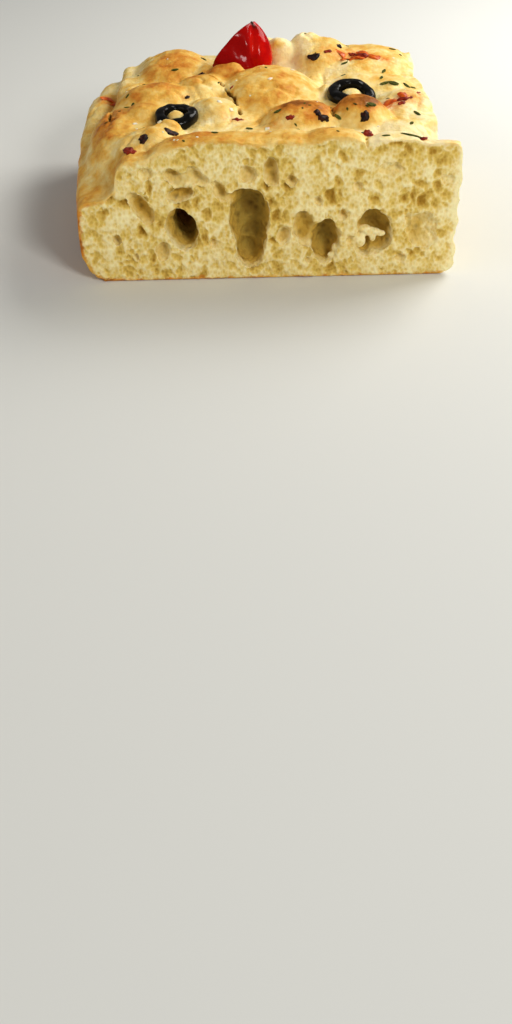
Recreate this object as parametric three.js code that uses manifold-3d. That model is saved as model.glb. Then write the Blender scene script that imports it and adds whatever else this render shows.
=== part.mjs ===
// One slice of tray-baked focaccia with two rings of black olive and half a cherry tomato on it.
// Units are millimetres. +Z is up and z = 0 is the flat base. The cut crumb faces are at -Y (the front), +X
// and +Y; the crust at -X rose against the side of the tray.
import * as THREE from "three";
import { mergeVertices } from "three/addons/utils/BufferGeometryUtils.js";
import Module from "manifold-3d";

const wasm = await Module();
wasm.setup();

// Driving sizes of the slice
const sliceWidth = 117.5;
const sliceDepth = 90;
const doughTop = 40; // level of the dough between its mounds
const moundHalfHeight = 11; // vertical half-axis of the ellipsoid that a mound is the cap of
const creaseBlend = 2; // how far two swellings run into each other at a crease
const seatGap = 0.3; // air left between a topping and the dough that it lies in

const left = -sliceWidth / 2;
const right = sliceWidth / 2;
const front = -sliceDepth / 2;
const back = sliceDepth / 2;

// Plan of the slice: the tray side bellies out to the full width near the middle and turns in towards the
// tray's corner at the back. The right-hand cut leaves the front corner standing proud.
const bellyY = 5;
const turnInFront = 3;
const turnInBack = 7.5;
const cornerProud = 3.2;
const cornerLength = 26;

// The tray side: a low ledge of crust, and the shoulder where the body of the slice rises from it
const ledgeFront = 27.5;
const ledgeBack = 33;
const ledgeEdgeRound = 4;
const shoulderIn = 11.5; // from the tray side to the foot of the shoulder
const shoulderRound = 5;
const shoulderDrop = 16;
const trayCornerInset = 8;
const trayCornerHeight = 12;

// Swellings of the dough: centre x and y, half-lengths along x and y, height of the crown, turn in degrees,
// and the vertical half-axis where it isn't moundHalfHeight
const mounds = [
  { x: -27.5, y: 31, rx: 15, ry: 19, crown: 46.0, turn: 0 }, // back left
  { x: -15, y: 24, rx: 9, ry: 13, crown: 44.4, turn: 0 },
  { x: 5, y: 44, rx: 12, ry: 9, crown: 46.2, turn: 0 }, // behind the tomato
  { x: 23, y: 38, rx: 12.5, ry: 16, crown: 47.2, turn: 0 }, // back right
  { x: 38, y: 34, rx: 21, ry: 20, crown: 45.0, turn: -6 },
  { x: 38, y: 13, rx: 19, ry: 14, crown: 43.4, turn: 0 },
  { x: -33, y: 5, rx: 15, ry: 13, crown: 44.4, turn: 0 }, // left middle
  { x: -18, y: 10, rx: 11, ry: 11, crown: 45.2, turn: 0 },
  { x: 4, y: 8, rx: 19, ry: 20, crown: 46.8, turn: 10 }, // centre
  { x: -14, y: -8, rx: 11, ry: 12, crown: 44.2, turn: 0 },
  { x: 13, y: -17, rx: 15, ry: 12, crown: 46.0, turn: 0 }, // browned, in the middle
  { x: 31.5, y: -16, rx: 10.5, ry: 10, crown: 47.2, turn: 0 }, // browned, before the second olive
  { x: 47, y: -5, rx: 13, ry: 16, crown: 43.6, turn: 0 },
  { x: 44, y: -25, rx: 13, ry: 10, crown: 42.8, turn: 0 },
  { x: -12, y: -41, rx: 30, ry: 13, crown: 46.2, turn: 3 }, // the front lip, from left to right
  { x: 7, y: -41, rx: 18, ry: 12, crown: 45.9, turn: 0 },
  { x: 21.5, y: -41, rx: 14, ry: 11, crown: 47.2, turn: 0 },
  { x: 39, y: -42, rx: 13, ry: 11, crown: 46.1, turn: 0 },
  { x: 52, y: -44, rx: 13, ry: 9, crown: 43.8, turn: 0 },
  { x: -44, y: -14, rx: 11.5, ry: 29, crown: 40.6, turn: 0, half: 15 }, // bulge over the tray side
  { x: -35, y: -29, rx: 13, ry: 10, crown: 43.4, turn: 20 },
  { x: -35, y: -8, rx: 11, ry: 10, crown: 43.2, turn: 0 },
  { x: -53, y: 20, rx: 6.5, ry: 15, crown: 35.4, turn: 0 }, // swellings of the ledge
  { x: -49, y: 37, rx: 7.5, ry: 11, crown: 35.0, turn: 0 },
];

// Hollows that a topping or a finger pressed: centre, half-lengths, height of the bottom, depth of the
// bowl. The last is where a tomato has been pulled out at the cut.
const dimples = [
  { x: -26, y: -15, rx: 9.5, ry: 9, bottom: 39.6, bowl: 7 },
  { x: 30.2, y: 0.5, rx: 10.5, ry: 9.5, bottom: 39.4, bowl: 7 },
  { x: -3.5, y: 29.5, rx: 14, ry: 12, bottom: 36, bowl: 11 },
  { x: 57, y: -27, rx: 8, ry: 10, bottom: 32, bowl: 14 },
];

// The larger of two heights, rounded where they cross
function smoothMax(a, b) {
  const near = Math.max(creaseBlend - Math.abs(a - b), 0);
  return Math.max(a, b) + (near * near) / (4 * creaseBlend);
}

// Squared distance from a round feature's centre, as a share of its half-lengths
function reach(x, y, feature) {
  const turn = THREE.MathUtils.degToRad(feature.turn ?? 0);
  const dx = x - feature.x;
  const dy = y - feature.y;
  const along = (dx * Math.cos(turn) + dy * Math.sin(turn)) / feature.rx;
  const across = (dy * Math.cos(turn) - dx * Math.sin(turn)) / feature.ry;
  return along * along + across * across;
}

// A quarter-ellipse that falls from 0 to -drop as t goes from 0 to 1
function quarterRound(t, drop) {
  const share = THREE.MathUtils.clamp(t, 0, 1);
  return -drop * (1 - Math.sqrt(1 - share * share));
}

// Where the tray side and the right-hand cut stand at a depth into the slice
function traySide(y) {
  const turnIn = y < bellyY ? turnInFront : turnInBack;
  const share = (y - bellyY) / ((y < bellyY ? front : back) - bellyY);
  return left + turnIn * share * share;
}
function cutSide(y) {
  const share = THREE.MathUtils.clamp((front + cornerLength - y) / cornerLength, 0, 1);
  return right - cornerProud * (1 - share * share);
}

// Height of the dough's top surface above the base
function doughHeight(x, y) {
  const towardsBack = (y - front) / sliceDepth;
  const ledge = THREE.MathUtils.lerp(ledgeFront, ledgeBack, towardsBack);
  const inward = x - traySide(y);
  let height = ledge + quarterRound(1 - inward / ledgeEdgeRound, ledgeEdgeRound * 0.8);
  const pastShoulder = 1 - (inward - shoulderIn) / shoulderRound;
  if (pastShoulder < 1) height = smoothMax(height, doughTop + quarterRound(pastShoulder, shoulderDrop));
  for (const mound of mounds) {
    const r2 = reach(x, y, mound);
    const half = mound.half ?? moundHalfHeight;
    if (r2 < 1) height = smoothMax(height, mound.crown - half * (1 - Math.sqrt(1 - r2)));
  }
  for (const dimple of dimples) {
    const r2 = reach(x, y, dimple);
    if (r2 < 1) height = -smoothMax(-height, -(dimple.bottom + dimple.bowl * (1 - Math.sqrt(1 - r2))));
  }
  return height;
}

// How far the tray side and the cut side stand in from the full width at a height, as both round off at
// the base
function trayInset(z) {
  return -quarterRound(1 - z / trayCornerHeight, trayCornerInset);
}
function cutInset(z) {
  return -quarterRound(1 - z / 3, 2.5);
}

// A closed mesh of merged vertices as a solid, and a solid as geometry for a mesh
function solidFrom(geometry) {
  const bare = geometry.clone();
  bare.deleteAttribute("normal");
  bare.deleteAttribute("uv");
  const merged = mergeVertices(bare, 1e-3);
  return new wasm.Manifold(
    new wasm.Mesh({
      numProp: 3,
      vertProperties: new Float32Array(merged.attributes.position.array),
      triVerts: new Uint32Array(merged.index.array),
    }),
  );
}
function geometryFrom(solid) {
  const mesh = solid.getMesh();
  const geometry = new THREE.BufferGeometry();
  geometry.setAttribute("position", new THREE.BufferAttribute(new Float32Array(mesh.vertProperties), 3));
  geometry.setIndex(new THREE.BufferAttribute(new Uint32Array(mesh.triVerts), 1));
  return geometry;
}

// The uncut body: a grid for the relief on top, a few rings of wall, and a flat base
function bodyGeometry() {
  const columns = 46;
  const rows = 35;
  const wallLevels = [0.92, 0.55, 0.27, 0.12, 0.04, 0];
  const points = [];
  const triangles = [];
  const quad = (a, b, c, d) => triangles.push(a, b, c, a, c, d);
  for (let j = 0; j <= rows; j++)
    for (let i = 0; i <= columns; i++) {
      const y = THREE.MathUtils.lerp(front, back, j / rows);
      const x = THREE.MathUtils.lerp(traySide(y), cutSide(y), i / columns);
      points.push(new THREE.Vector3(x, y, doughHeight(x, y)));
    }
  const at = (i, j) => j * (columns + 1) + i;
  for (let j = 0; j < rows; j++)
    for (let i = 0; i < columns; i++) {
      // each cell folds along the diagonal that rises less, so that creases stay clean
      const [a, b, c, d] = [at(i, j), at(i + 1, j), at(i + 1, j + 1), at(i, j + 1)];
      const rise = (from, to) => Math.abs(points[from].z - points[to].z);
      if (rise(a, c) < rise(b, d)) quad(a, b, c, d);
      else quad(b, c, d, a);
    }

  let ring = [];
  for (let i = 0; i < columns; i++) ring.push(at(i, 0));
  for (let j = 0; j < rows; j++) ring.push(at(columns, j));
  for (let i = columns; i > 0; i--) ring.push(at(i, rows));
  for (let j = rows; j > 0; j--) ring.push(at(0, j));
  const rim = ring.map((index) => points[index].clone());
  for (const level of wallLevels) {
    const next = rim.map((top) => {
      const z = top.z * level;
      const towardsTray = THREE.MathUtils.clamp(1 - (top.x - traySide(top.y)) / 18, 0, 1);
      const towardsCut = THREE.MathUtils.clamp(1 - (cutSide(top.y) - top.x) / 8, 0, 1);
      const x = top.x + trayInset(z) * towardsTray - cutInset(z) * towardsCut;
      return points.push(new THREE.Vector3(x, top.y, z)) - 1;
    });
    ring.forEach((upper, k) => {
      const after = (k + 1) % ring.length;
      quad(upper, next[k], next[after], ring[after]);
    });
    ring = next;
  }
  const outline = ring.map((index) => new THREE.Vector2(points[index].x, points[index].y));
  for (const [a, b, c] of THREE.ShapeUtils.triangulateShape(outline, [])) {
    triangles.push(ring[a], ring[c], ring[b]);
  }
  const geometry = new THREE.BufferGeometry().setFromPoints(points);
  geometry.setIndex(triangles);
  return geometry;
}

// Air bubbles that the knife opened in the front face: centre x and z, width, height, how deep they run in,
// and how far they lean from upright, in degrees
const frontBubbles = [
  { x: -24.2, z: 17.7, w: 8.6, h: 14, deep: 14, lean: 12 },
  { x: -4, z: 20, w: 11.6, h: 21, deep: 9, lean: 3 },
  { x: -3.7, z: 9.5, w: 7.2, h: 11, deep: 7, lean: 0 },
  { x: 12.2, z: 17, w: 5.5, h: 11, deep: 4, lean: 4 },
  { x: 19.1, z: 12.4, w: 9, h: 15, deep: 9, lean: 6 },
  { x: 33.6, z: 14.5, w: 11, h: 16.5, deep: 7, lean: -4 },
  { x: 49.1, z: 15.6, w: 8.4, h: 10, deep: 3, lean: 0 },
  { x: -36.5, z: 24.6, w: 4.8, h: 10.5, deep: 4, lean: 26 },
  { x: 2.1, z: 35.6, w: 4.8, h: 10, deep: 4, lean: 6 },
  { x: -4.5, z: 35, w: 5.2, h: 5.4, deep: 3, lean: 20 },
  { x: -24.2, z: 28.4, w: 8, h: 4.6, deep: 4, lean: 10 },
  { x: 5.8, z: 14.2, w: 3.3, h: 6.6, deep: 3, lean: -8 },
  { x: 16.4, z: 25.7, w: 3.3, h: 4.2, deep: 3, lean: 0 },
  { x: -13.2, z: 30, w: 4, h: 5.4, deep: 3, lean: 30 },
  { x: -25.8, z: 34, w: 4.6, h: 7, deep: 3, lean: 40 },
  { x: -18.9, z: 35, w: 3.6, h: 6.4, deep: 3, lean: 34 },
  { x: 8.6, z: 32.6, w: 3.4, h: 5, deep: 3, lean: 0 },
  { x: 24.1, z: 21, w: 3.2, h: 4.4, deep: 3, lean: 0 },
  { x: 42.5, z: 18.6, w: 2.8, h: 6, deep: 3, lean: 0 },
  { x: -29.9, z: 9.4, w: 3.8, h: 5.4, deep: 3, lean: -20 },
  { x: 41.4, z: 5.8, w: 3.4, h: 3.6, deep: 3, lean: 0 },
  { x: 37.4, z: 36, w: 9, h: 7, deep: 2.4, lean: 0 },
  { x: 27.8, z: 30, w: 3.2, h: 3.6, deep: 2.4, lean: 0 },
  { x: 51.8, z: 32, w: 4, h: 4.6, deep: 2.4, lean: 0 },
  { x: -44.8, z: 14, w: 3.4, h: 4.6, deep: 2.6, lean: 10 },
  { x: -39.2, z: 8, w: 3, h: 3.4, deep: 2.4, lean: 0 },
  { x: -34.2, z: 36, w: 3, h: 4, deep: 2.4, lean: 20 },
  { x: 13.8, z: 5.6, w: 3.4, h: 3.2, deep: 2.4, lean: 0 },
];

// A random number from 0 to 1 that is the same at each run
let seed = 20261;
function random() {
  seed = (seed * 1664525 + 1013904223) % 4294967296;
  return seed / 4294967296;
}

// Bubbles for a cut face that is seen only from the side or the back: large ones low down, small ones all
// over
function scatteredBubbles(faceLength, large, small) {
  const placed = [];
  const wanted = large + small;
  for (let tries = 0; placed.length < wanted && tries < 4000; tries++) {
    const isLarge = placed.length < large;
    const w = isLarge ? 5.5 + 5 * random() : 2.6 + 2 * random();
    const h = w * (1.15 + 0.6 * random());
    const across = (random() - 0.5) * (faceLength - w - 8);
    const lowest = h / 2 + 2.5;
    const z = lowest + random() * ((isLarge ? 27 : 35) - h / 2 - lowest);
    const clear = placed.every((b) => Math.hypot((b.x - across) / (b.w + w), (b.z - z) / (b.h + h)) > 0.56);
    const deep = w * (isLarge ? 0.75 : 0.6);
    if (clear) placed.push({ x: across, z, w, h, deep, lean: 50 * (random() - 0.5) });
  }
  return placed;
}

// A bubble as an egg whose middle lies in the face's plane, narrower at its foot
function bubbleSolid(bubble, toFace) {
  const round = bubble.w > 5 ? 10 : 8;
  const egg = new THREE.SphereGeometry(1, round, round > 8 ? 8 : 5);
  egg.rotateX(Math.PI / 2);
  const at = egg.attributes.position;
  for (let k = 0; k < at.count; k++) {
    const taper = 1 + 0.14 * at.getZ(k);
    at.setXYZ(k, at.getX(k) * taper, at.getY(k), at.getZ(k));
  }
  egg.scale(bubble.w / 2, bubble.deep, bubble.h / 2);
  egg.rotateY(THREE.MathUtils.degToRad(-bubble.lean));
  egg.translate(bubble.x, 0, bubble.z);
  egg.applyMatrix4(toFace);
  return solidFrom(egg);
}

// Each cut face's bubbles are laid out with x along the face and y into it; the matrix sets them in place
function faceAt(x, y, turn) {
  return new THREE.Matrix4().makeRotationZ(turn).setPosition(x, y, 0);
}
const frontFace = faceAt(0, front, 0);
const rightFace = faceAt(right - cornerProud, 12, Math.PI / 2);
const backFace = faceAt(4, back, Math.PI);
const bubbleSolids = [
  ...frontBubbles.map((b) => bubbleSolid(b, frontFace)),
  ...scatteredBubbles(sliceDepth - 30, 6, 12).map((b) => bubbleSolid(b, rightFace)),
  ...scatteredBubbles(sliceWidth - 18, 8, 16).map((b) => bubbleSolid(b, backFace)),
];

// Seasoning baked on to the crust: the kinds by length, width and height, and where each piece lies as x,
// y and turn in degrees
const seasoningKinds = {
  darkFlake: {
    size: [3.2, 2.4, 1.2],
    places: [
      [-19.5, 18.5, 15], [-23, 1.5, 40], [-35.5, -32.5, 70], [-27.5, -28, 5], [-39.5, -36.5, 60],
      [29.5, 36, 80], [20, 28.5, -5], [18.5, -22.5, -60], [21.5, -25, -20], [32, -23.5, 60],
      [32.5, -29, -70],
    ],
  },
  redFlake: {
    size: [2.4, 1.6, 0.9],
    places: [
      [25, 30.5, 10], [-7, -15.5, -10], [47, -42.5, 20], [51.5, -1.5, 40], [48.5, -6.5, 70], [45, -11, 30],
    ],
  },
  pepperShred: {
    size: [5.4, 2.6, 0.7],
    places: [[29.5, 31, -60], [34.5, 28, 0], [40.5, 29, 10], [43, -8.5, 15], [-48, 22, 0]],
  },
  herb: {
    size: [2.6, 1.1, 0.6],
    places: [
      [-14, -38.5, -5], [-3.5, -23, -40], [36, -42.5, -10], [45, 7.5, 0], [49.5, 8.5, -30], [43.5, 21, 60],
      [41.5, 12, 70], [30.5, 25.5, 20], [29.5, 19, 40], [5.5, -18.5, 20], [48.5, 37, 10], [46, -26.5, 60],
      [34.5, -19, 30], [-42.5, 3, 50], [-42, -4, 10], [-40.5, -2, 80], [-27.5, 21, 0], [-18, 35, 20],
      [24, -20.5, -50], [49.5, -15, -50],
    ],
  },
  herbNeedle: { size: [6.4, 0.9, 0.7], places: [[43.5, -42, -18]] },
  salt: {
    size: [1.5, 1.3, 1.1],
    places: [
      [2, -24, 0], [-12.5, -9.5, 30], [-39, -17, 10], [4, 3, 50], [-31, -22.5, 20], [12, 16, 0],
      [-9, -12, 40],
    ],
  },
};
const seasoning = Object.values(seasoningKinds).flatMap(({ size, places }) =>
  places.map(([x, y, turn]) => [x, y, ...size, turn]),
);

// One piece of seasoning: a squashed eight-sided stone, half sunk into the crust where it lies
function chipSolid([x, y, length, width, height, turn]) {
  const chip = new THREE.OctahedronGeometry(0.5, 0);
  chip.scale(length, width, height * 2);
  chip.rotateZ(THREE.MathUtils.degToRad(turn));
  chip.translate(x, y, doughHeight(x, y));
  return solidFrom(chip);
}

// Olive ring: a thick slice of a pitted olive, with rounded skin outside and a straight pit hole
const oliveHoleShare = 0.5;
function oliveProfile(radius, thickness, grow = 0) {
  const hole = radius * oliveHoleShare - grow;
  const outer = radius + grow;
  const half = thickness / 2 + grow;
  const edge = 0.9;
  const belly = outer - 0.9;
  return [
    [hole + edge * 0.6, -half],
    [belly - edge, -half],
    [belly + 0.25, -half * 0.72],
    [outer, 0],
    [belly + 0.25, half * 0.72],
    [belly - edge, half],
    [hole + edge * 0.6, half],
    [hole, half * 0.66],
    [hole, -half * 0.66],
    [hole + edge * 0.6, -half],
  ].map(([r, z]) => new THREE.Vector2(r, z));
}
function oliveGeometry(ring, grow = 0) {
  const geometry = new THREE.LatheGeometry(oliveProfile(ring.radius, ring.thickness, grow), 24);
  geometry.rotateX(Math.PI / 2);
  geometry.scale(1, ring.squash, 1);
  geometry.rotateX(THREE.MathUtils.degToRad(ring.tiltX));
  geometry.rotateY(THREE.MathUtils.degToRad(ring.tiltY));
  return geometry;
}
const oliveRings = [
  {
    name: "olive_ring_front",
    x: -26.1,
    y: -15.3,
    z: 41.4,
    radius: 6.8,
    thickness: 4.2,
    squash: 1.08, // longer from front to back than it is wide
    tiltX: 4,
    tiltY: -2,
  },
  {
    name: "olive_ring_back",
    x: 30.4,
    y: 0.8,
    z: 41.4,
    radius: 8,
    thickness: 4.4,
    squash: 1.0,
    tiltX: 8,
    tiltY: 5,
  },
];

// Half a cherry tomato, roasted: a dome of wrinkled skin whose sunken cut face leans to the left and back.
// The rim of the cut curls up at the front, and the skin comes to a peak where the stalk was.
const tomato = { x: -6.4, y: 30, z: 46.6, radiusX: 11.6, radiusY: 10.2, dome: 14, tiltY: -46, tiltX: -32 };
const rimCurl = 0.22;
function tomatoGeometry(grow = 0) {
  const geometry = new THREE.SphereGeometry(1, 26, 14);
  geometry.rotateX(Math.PI / 2);
  const at = geometry.attributes.position;
  for (let k = 0; k < at.count; k++) {
    const x = at.getX(k);
    const y = at.getY(k);
    const z = at.getZ(k);
    const angle = Math.atan2(y, x);
    const rho = Math.hypot(x, y);
    const wrinkle = 0.035 * Math.sin(5 * angle + 0.6) + 0.025 * Math.sin(9 * angle + 2);
    const peak = 0.1 * Math.exp(-Math.pow((angle + 0.15) / 0.35, 2));
    const spread = 1 + (wrinkle + peak) * rho;
    const sunken = -0.16 * (1 - rho * rho) + 0.1 * Math.exp(-Math.pow((rho - 0.86) / 0.12, 2));
    const curl = rimCurl * Math.max(-Math.sin(angle), 0) * (z > 0 ? rho * rho : rho * (1 + z));
    at.setXYZ(
      k,
      x * spread * (tomato.radiusX + grow),
      y * spread * (tomato.radiusY + grow),
      ((z > 0 ? sunken : z) + curl) * (tomato.dome + grow) + (z > 0 ? grow : 0),
    );
  }
  geometry.rotateY(THREE.MathUtils.degToRad(tomato.tiltY));
  geometry.rotateX(THREE.MathUtils.degToRad(tomato.tiltX));
  return geometry;
}

// A topping's solid in its place, to be cut out of the bread
function seatFor(geometry, place) {
  geometry.translate(place.x, place.y, place.z);
  return solidFrom(geometry);
}

// The bread: body, less the bubbles and the toppings' seats, plus the seasoning
let bread = solidFrom(bodyGeometry());
for (const bubble of bubbleSolids) bread = bread.subtract(bubble);
for (const ring of oliveRings) bread = bread.subtract(seatFor(oliveGeometry(ring, seatGap), ring));
bread = bread.subtract(seatFor(tomatoGeometry(seatGap), tomato));
for (const chip of seasoning) bread = bread.add(chipSolid(chip));

// Colours as seen on the baked bread, and matt to glossy surfaces
const material = (color, roughness) => new THREE.MeshStandardMaterial({ color, roughness, metalness: 0 });
const breadFinish = material(0xe3c078, 0.7);
const oliveFinish = material(0x1d1c1a, 0.25);
const tomatoFinish = material(0xa51410, 0.25);

const slice = new THREE.Group();
function addPiece(name, geometry, finish, place) {
  const mesh = new THREE.Mesh(geometry, finish);
  mesh.name = name;
  if (place) mesh.position.set(place.x, place.y, place.z);
  slice.add(mesh);
}
addPiece("focaccia_slice", geometryFrom(bread), breadFinish);
for (const ring of oliveRings) addPiece(ring.name, oliveGeometry(ring), oliveFinish, ring);
addPiece("tomato_half", tomatoGeometry(), tomatoFinish, tomato);

export default slice;
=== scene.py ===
# %% [markdown]
# # A slice of tray-baked focaccia
# The slice is a block of dough that rose in soft mounds, was baked in a tray, and was then cut out with a
# knife. So it is made here in the same order: dough, crust, knife cuts, air bubbles, crumb, and at the
# end the toppings. The CAD frame gives the true size and the places of the toppings.

# %% Load the frame
import math
import random

import bpy
import numpy as np
from mathutils import Euler, Matrix, Vector
from mathutils.bvhtree import BVHTree
from mathutils.kdtree import KDTree
from mathutils.noise import fractal, noise as noise_value, noise_vector, seed_set


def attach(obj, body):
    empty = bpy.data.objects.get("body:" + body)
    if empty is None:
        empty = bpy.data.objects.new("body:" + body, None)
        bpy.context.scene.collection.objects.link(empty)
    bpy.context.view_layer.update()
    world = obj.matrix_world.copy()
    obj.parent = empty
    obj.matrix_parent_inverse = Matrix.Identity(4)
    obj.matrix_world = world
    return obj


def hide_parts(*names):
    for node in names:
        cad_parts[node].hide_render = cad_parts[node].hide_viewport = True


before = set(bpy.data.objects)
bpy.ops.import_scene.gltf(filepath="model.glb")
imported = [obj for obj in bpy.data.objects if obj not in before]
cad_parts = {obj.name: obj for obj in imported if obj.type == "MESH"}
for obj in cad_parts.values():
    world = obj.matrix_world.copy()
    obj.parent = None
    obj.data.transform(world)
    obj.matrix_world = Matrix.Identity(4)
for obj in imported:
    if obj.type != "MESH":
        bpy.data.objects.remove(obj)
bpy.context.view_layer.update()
print("CAD nodes:", sorted(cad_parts))

# %% [markdown]
# ## Small helpers
# Sizes are written in millimetres, as a baker would measure, and Blender works in metres. Operators act
# on whatever is selected, so every step first selects just the objects that it works on.

# %% Selecting, placing and finishing objects
MM = 0.001


def select_only(*pieces):
    """Selects these objects and nothing else, and makes the first one active."""
    bpy.ops.object.select_all(action="DESELECT")
    for piece in pieces:
        piece.select_set(True)
    bpy.context.view_layer.objects.active = pieces[0]
    return pieces[0]


def settle(piece):
    """Puts an object's place, turn and size into its mesh, so that the object sits at the origin."""
    select_only(piece)
    bpy.ops.object.transform_apply(location=True, rotation=True, scale=True)
    return piece


def join(pieces, name):
    """Makes one object out of several."""
    settle(pieces[0])
    select_only(*pieces)
    bpy.ops.object.join()
    joined = bpy.context.object
    joined.name = joined.data.name = name
    return joined


def finish_with(piece, kind, **settings):
    """Adds one modifier with its settings and applies it."""
    select_only(piece)
    modifier = piece.modifiers.new(kind.title(), kind)
    for key, value in settings.items():
        setattr(modifier, key, value)
    bpy.ops.object.modifier_apply(modifier=modifier.name)
    return piece


def triangle_count(piece):
    piece.data.calc_loop_triangles()
    return len(piece.data.loop_triangles)


# %% Reading and moving all the vertices of a mesh at once
def points_of(piece):
    """The vertices in millimetres, one row each."""
    flat = np.empty(len(piece.data.vertices) * 3)
    piece.data.vertices.foreach_get("co", flat)
    return flat.reshape(-1, 3) / MM


def move_points(piece, points):
    piece.data.vertices.foreach_set("co", (points * MM).ravel())
    piece.data.update()


def normals_of(piece):
    flat = np.empty(len(piece.data.vertices) * 3)
    piece.data.vertices.foreach_get("normal", flat)
    return flat.reshape(-1, 3)


def store_values(piece, name, values):
    """Keeps one number for each vertex, which a material can read by its name."""
    layer = piece.data.attributes.new(name, "FLOAT", "POINT")
    layer.data.foreach_set("value", np.asarray(values, dtype=np.float32))


def smooth_step(low, high, value):
    share = np.clip((value - low) / (high - low), 0, 1)
    return share * share * (3 - 2 * share)


# %% [markdown]
# ## The slice's sizes
# They are the CAD's own driving sizes: the cuts at the front, back and right, the tray side at the left
# that bellies out, the low ledge of crust along it, and the mounds that the dough rose in. Only the rear
# left corner and its two mounds were lowered a little afterwards. Each mound is the cap of an egg.

# %% Driving sizes in millimetres
WIDTH, DEPTH = 117.5, 90.0
LEFT, RIGHT = -WIDTH / 2, WIDTH / 2
FRONT, BACK = -DEPTH / 2, DEPTH / 2
DOUGH_TOP = 40.0
MOUND_HALF_HEIGHT = 11.0
BELLY_Y, TURN_IN_FRONT, TURN_IN_BACK = 5.0, 3.0, 8.5
CORNER_PROUD, CORNER_LENGTH = 3.2, 26.0
LEDGE_FRONT, LEDGE_BACK = 27.5, 33.0
SHOULDER_IN = 11.5
TRAY_CORNER_INSET, TRAY_CORNER_HEIGHT, TRAY_CORNER_REACH = 8.0, 12.0, 18.0
CUT_X = RIGHT - CORNER_PROUD
SPARE = 6.0  # dough beyond each cut, which the knife takes off
print(f"slice {WIDTH} x {DEPTH} mm, cut at the right at x = {CUT_X:.2f}")

# %% Mounds and dimples
# x, y, half-length in x, half-length in y, crown, turn in degrees, vertical half-axis
MOUNDS = [
    (-27.5, 31, 15, 19, 45.3, 0, MOUND_HALF_HEIGHT),
    (-15, 24, 9, 13, 44.4, 0, MOUND_HALF_HEIGHT),
    (5, 44, 12, 9, 46.2, 0, MOUND_HALF_HEIGHT),
    (23, 38, 12.5, 16, 47.2, 0, MOUND_HALF_HEIGHT),
    (38, 34, 21, 20, 45.0, -6, MOUND_HALF_HEIGHT),
    (38, 13, 19, 14, 43.4, 0, MOUND_HALF_HEIGHT),
    (-33, 5, 15, 13, 44.4, 0, MOUND_HALF_HEIGHT),
    (-18, 10, 11, 11, 45.2, 0, MOUND_HALF_HEIGHT),
    (4, 8, 19, 20, 46.8, 10, MOUND_HALF_HEIGHT),
    (-14, -8, 11, 12, 44.2, 0, MOUND_HALF_HEIGHT),
    (13, -17, 15, 12, 46.0, 0, MOUND_HALF_HEIGHT),
    (31.5, -16, 10.5, 10, 47.2, 0, MOUND_HALF_HEIGHT),
    (47, -5, 13, 16, 43.6, 0, MOUND_HALF_HEIGHT),
    (44, -25, 13, 10, 42.8, 0, MOUND_HALF_HEIGHT),
    (-12, -41, 30, 13, 46.2, 3, MOUND_HALF_HEIGHT),
    (7, -41, 18, 12, 45.9, 0, MOUND_HALF_HEIGHT),
    (21.5, -41, 14, 11, 47.2, 0, MOUND_HALF_HEIGHT),
    (39, -42, 13, 11, 46.1, 0, MOUND_HALF_HEIGHT),
    (52, -44, 13, 9, 43.8, 0, MOUND_HALF_HEIGHT),
    (-44, -14, 11.5, 29, 40.6, 0, 15),
    (-35, -29, 13, 10, 43.4, 20, MOUND_HALF_HEIGHT),
    (-35, -8, 11, 10, 43.2, 0, MOUND_HALF_HEIGHT),
    (-52.4, 20, 6.3, 15, 34.6, 0, MOUND_HALF_HEIGHT),
    (-49, 35, 8, 12.5, 36.0, 0, MOUND_HALF_HEIGHT),
]
# x, y, half-length in x, half-length in y, height of the bottom, depth of the bowl
DIMPLES = [
    (-26, -15, 9.5, 9, 39.6, 7),
    (30.2, 0.5, 10.5, 9.5, 39.4, 7),
    (-3.5, 29.5, 14, 12, 36, 11),
    (57, -27, 8, 10, 32, 14),
]
print(len(MOUNDS), "mounds and", len(DIMPLES), "dimples")

# %% [markdown]
# ## The dough
# A voxel remesh turns a pile of overlapping closed shapes into one skin, which is just what dough does
# when its folds rise into each other. So the dough is two bevelled blocks and an egg for each mound,
# joined and remeshed, and a few rounds of smoothing soften the creases between the mounds.


# %% The two blocks under the mounds
def tray_side(y):
    """Where the tray side stands at a depth into the slice."""
    turn_in = np.where(y < BELLY_Y, TURN_IN_FRONT, TURN_IN_BACK)
    reach = np.where(y < BELLY_Y, FRONT - BELLY_Y, BACK - BELLY_Y)
    return LEFT + turn_in * ((y - BELLY_Y) / reach) ** 2


def add_block(low, high):
    """A box between two corners, in millimetres."""
    middle = [(a + b) / 2 * MM for a, b in zip(low, high)]
    bpy.ops.mesh.primitive_cube_add(size=1, location=middle)
    block = bpy.context.object
    block.scale = [(b - a) * MM for a, b in zip(low, high)]
    return settle(block)


def bevel_edges(block, chosen, width, segments):
    """Rounds the edges whose both ends the test chooses."""
    points = points_of(block)
    select_only(block)
    bpy.ops.object.mode_set(mode="EDIT")
    bpy.ops.mesh.select_all(action="DESELECT")
    bpy.ops.object.mode_set(mode="OBJECT")
    for edge in block.data.edges:
        edge.select = all(chosen(points[v]) for v in edge.vertices)
    bpy.ops.object.mode_set(mode="EDIT")
    bpy.ops.mesh.bevel(offset=width * MM, segments=segments, affect="EDGES")
    bpy.ops.object.mode_set(mode="OBJECT")


body_left = LEFT + SHOULDER_IN
body = add_block((body_left, FRONT - SPARE, -SPARE), (RIGHT + SPARE, BACK + SPARE, DOUGH_TOP))
bevel_edges(body, lambda p: p[0] < body_left + 1 and p[2] > DOUGH_TOP - 1, 3.5, 5)

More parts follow.
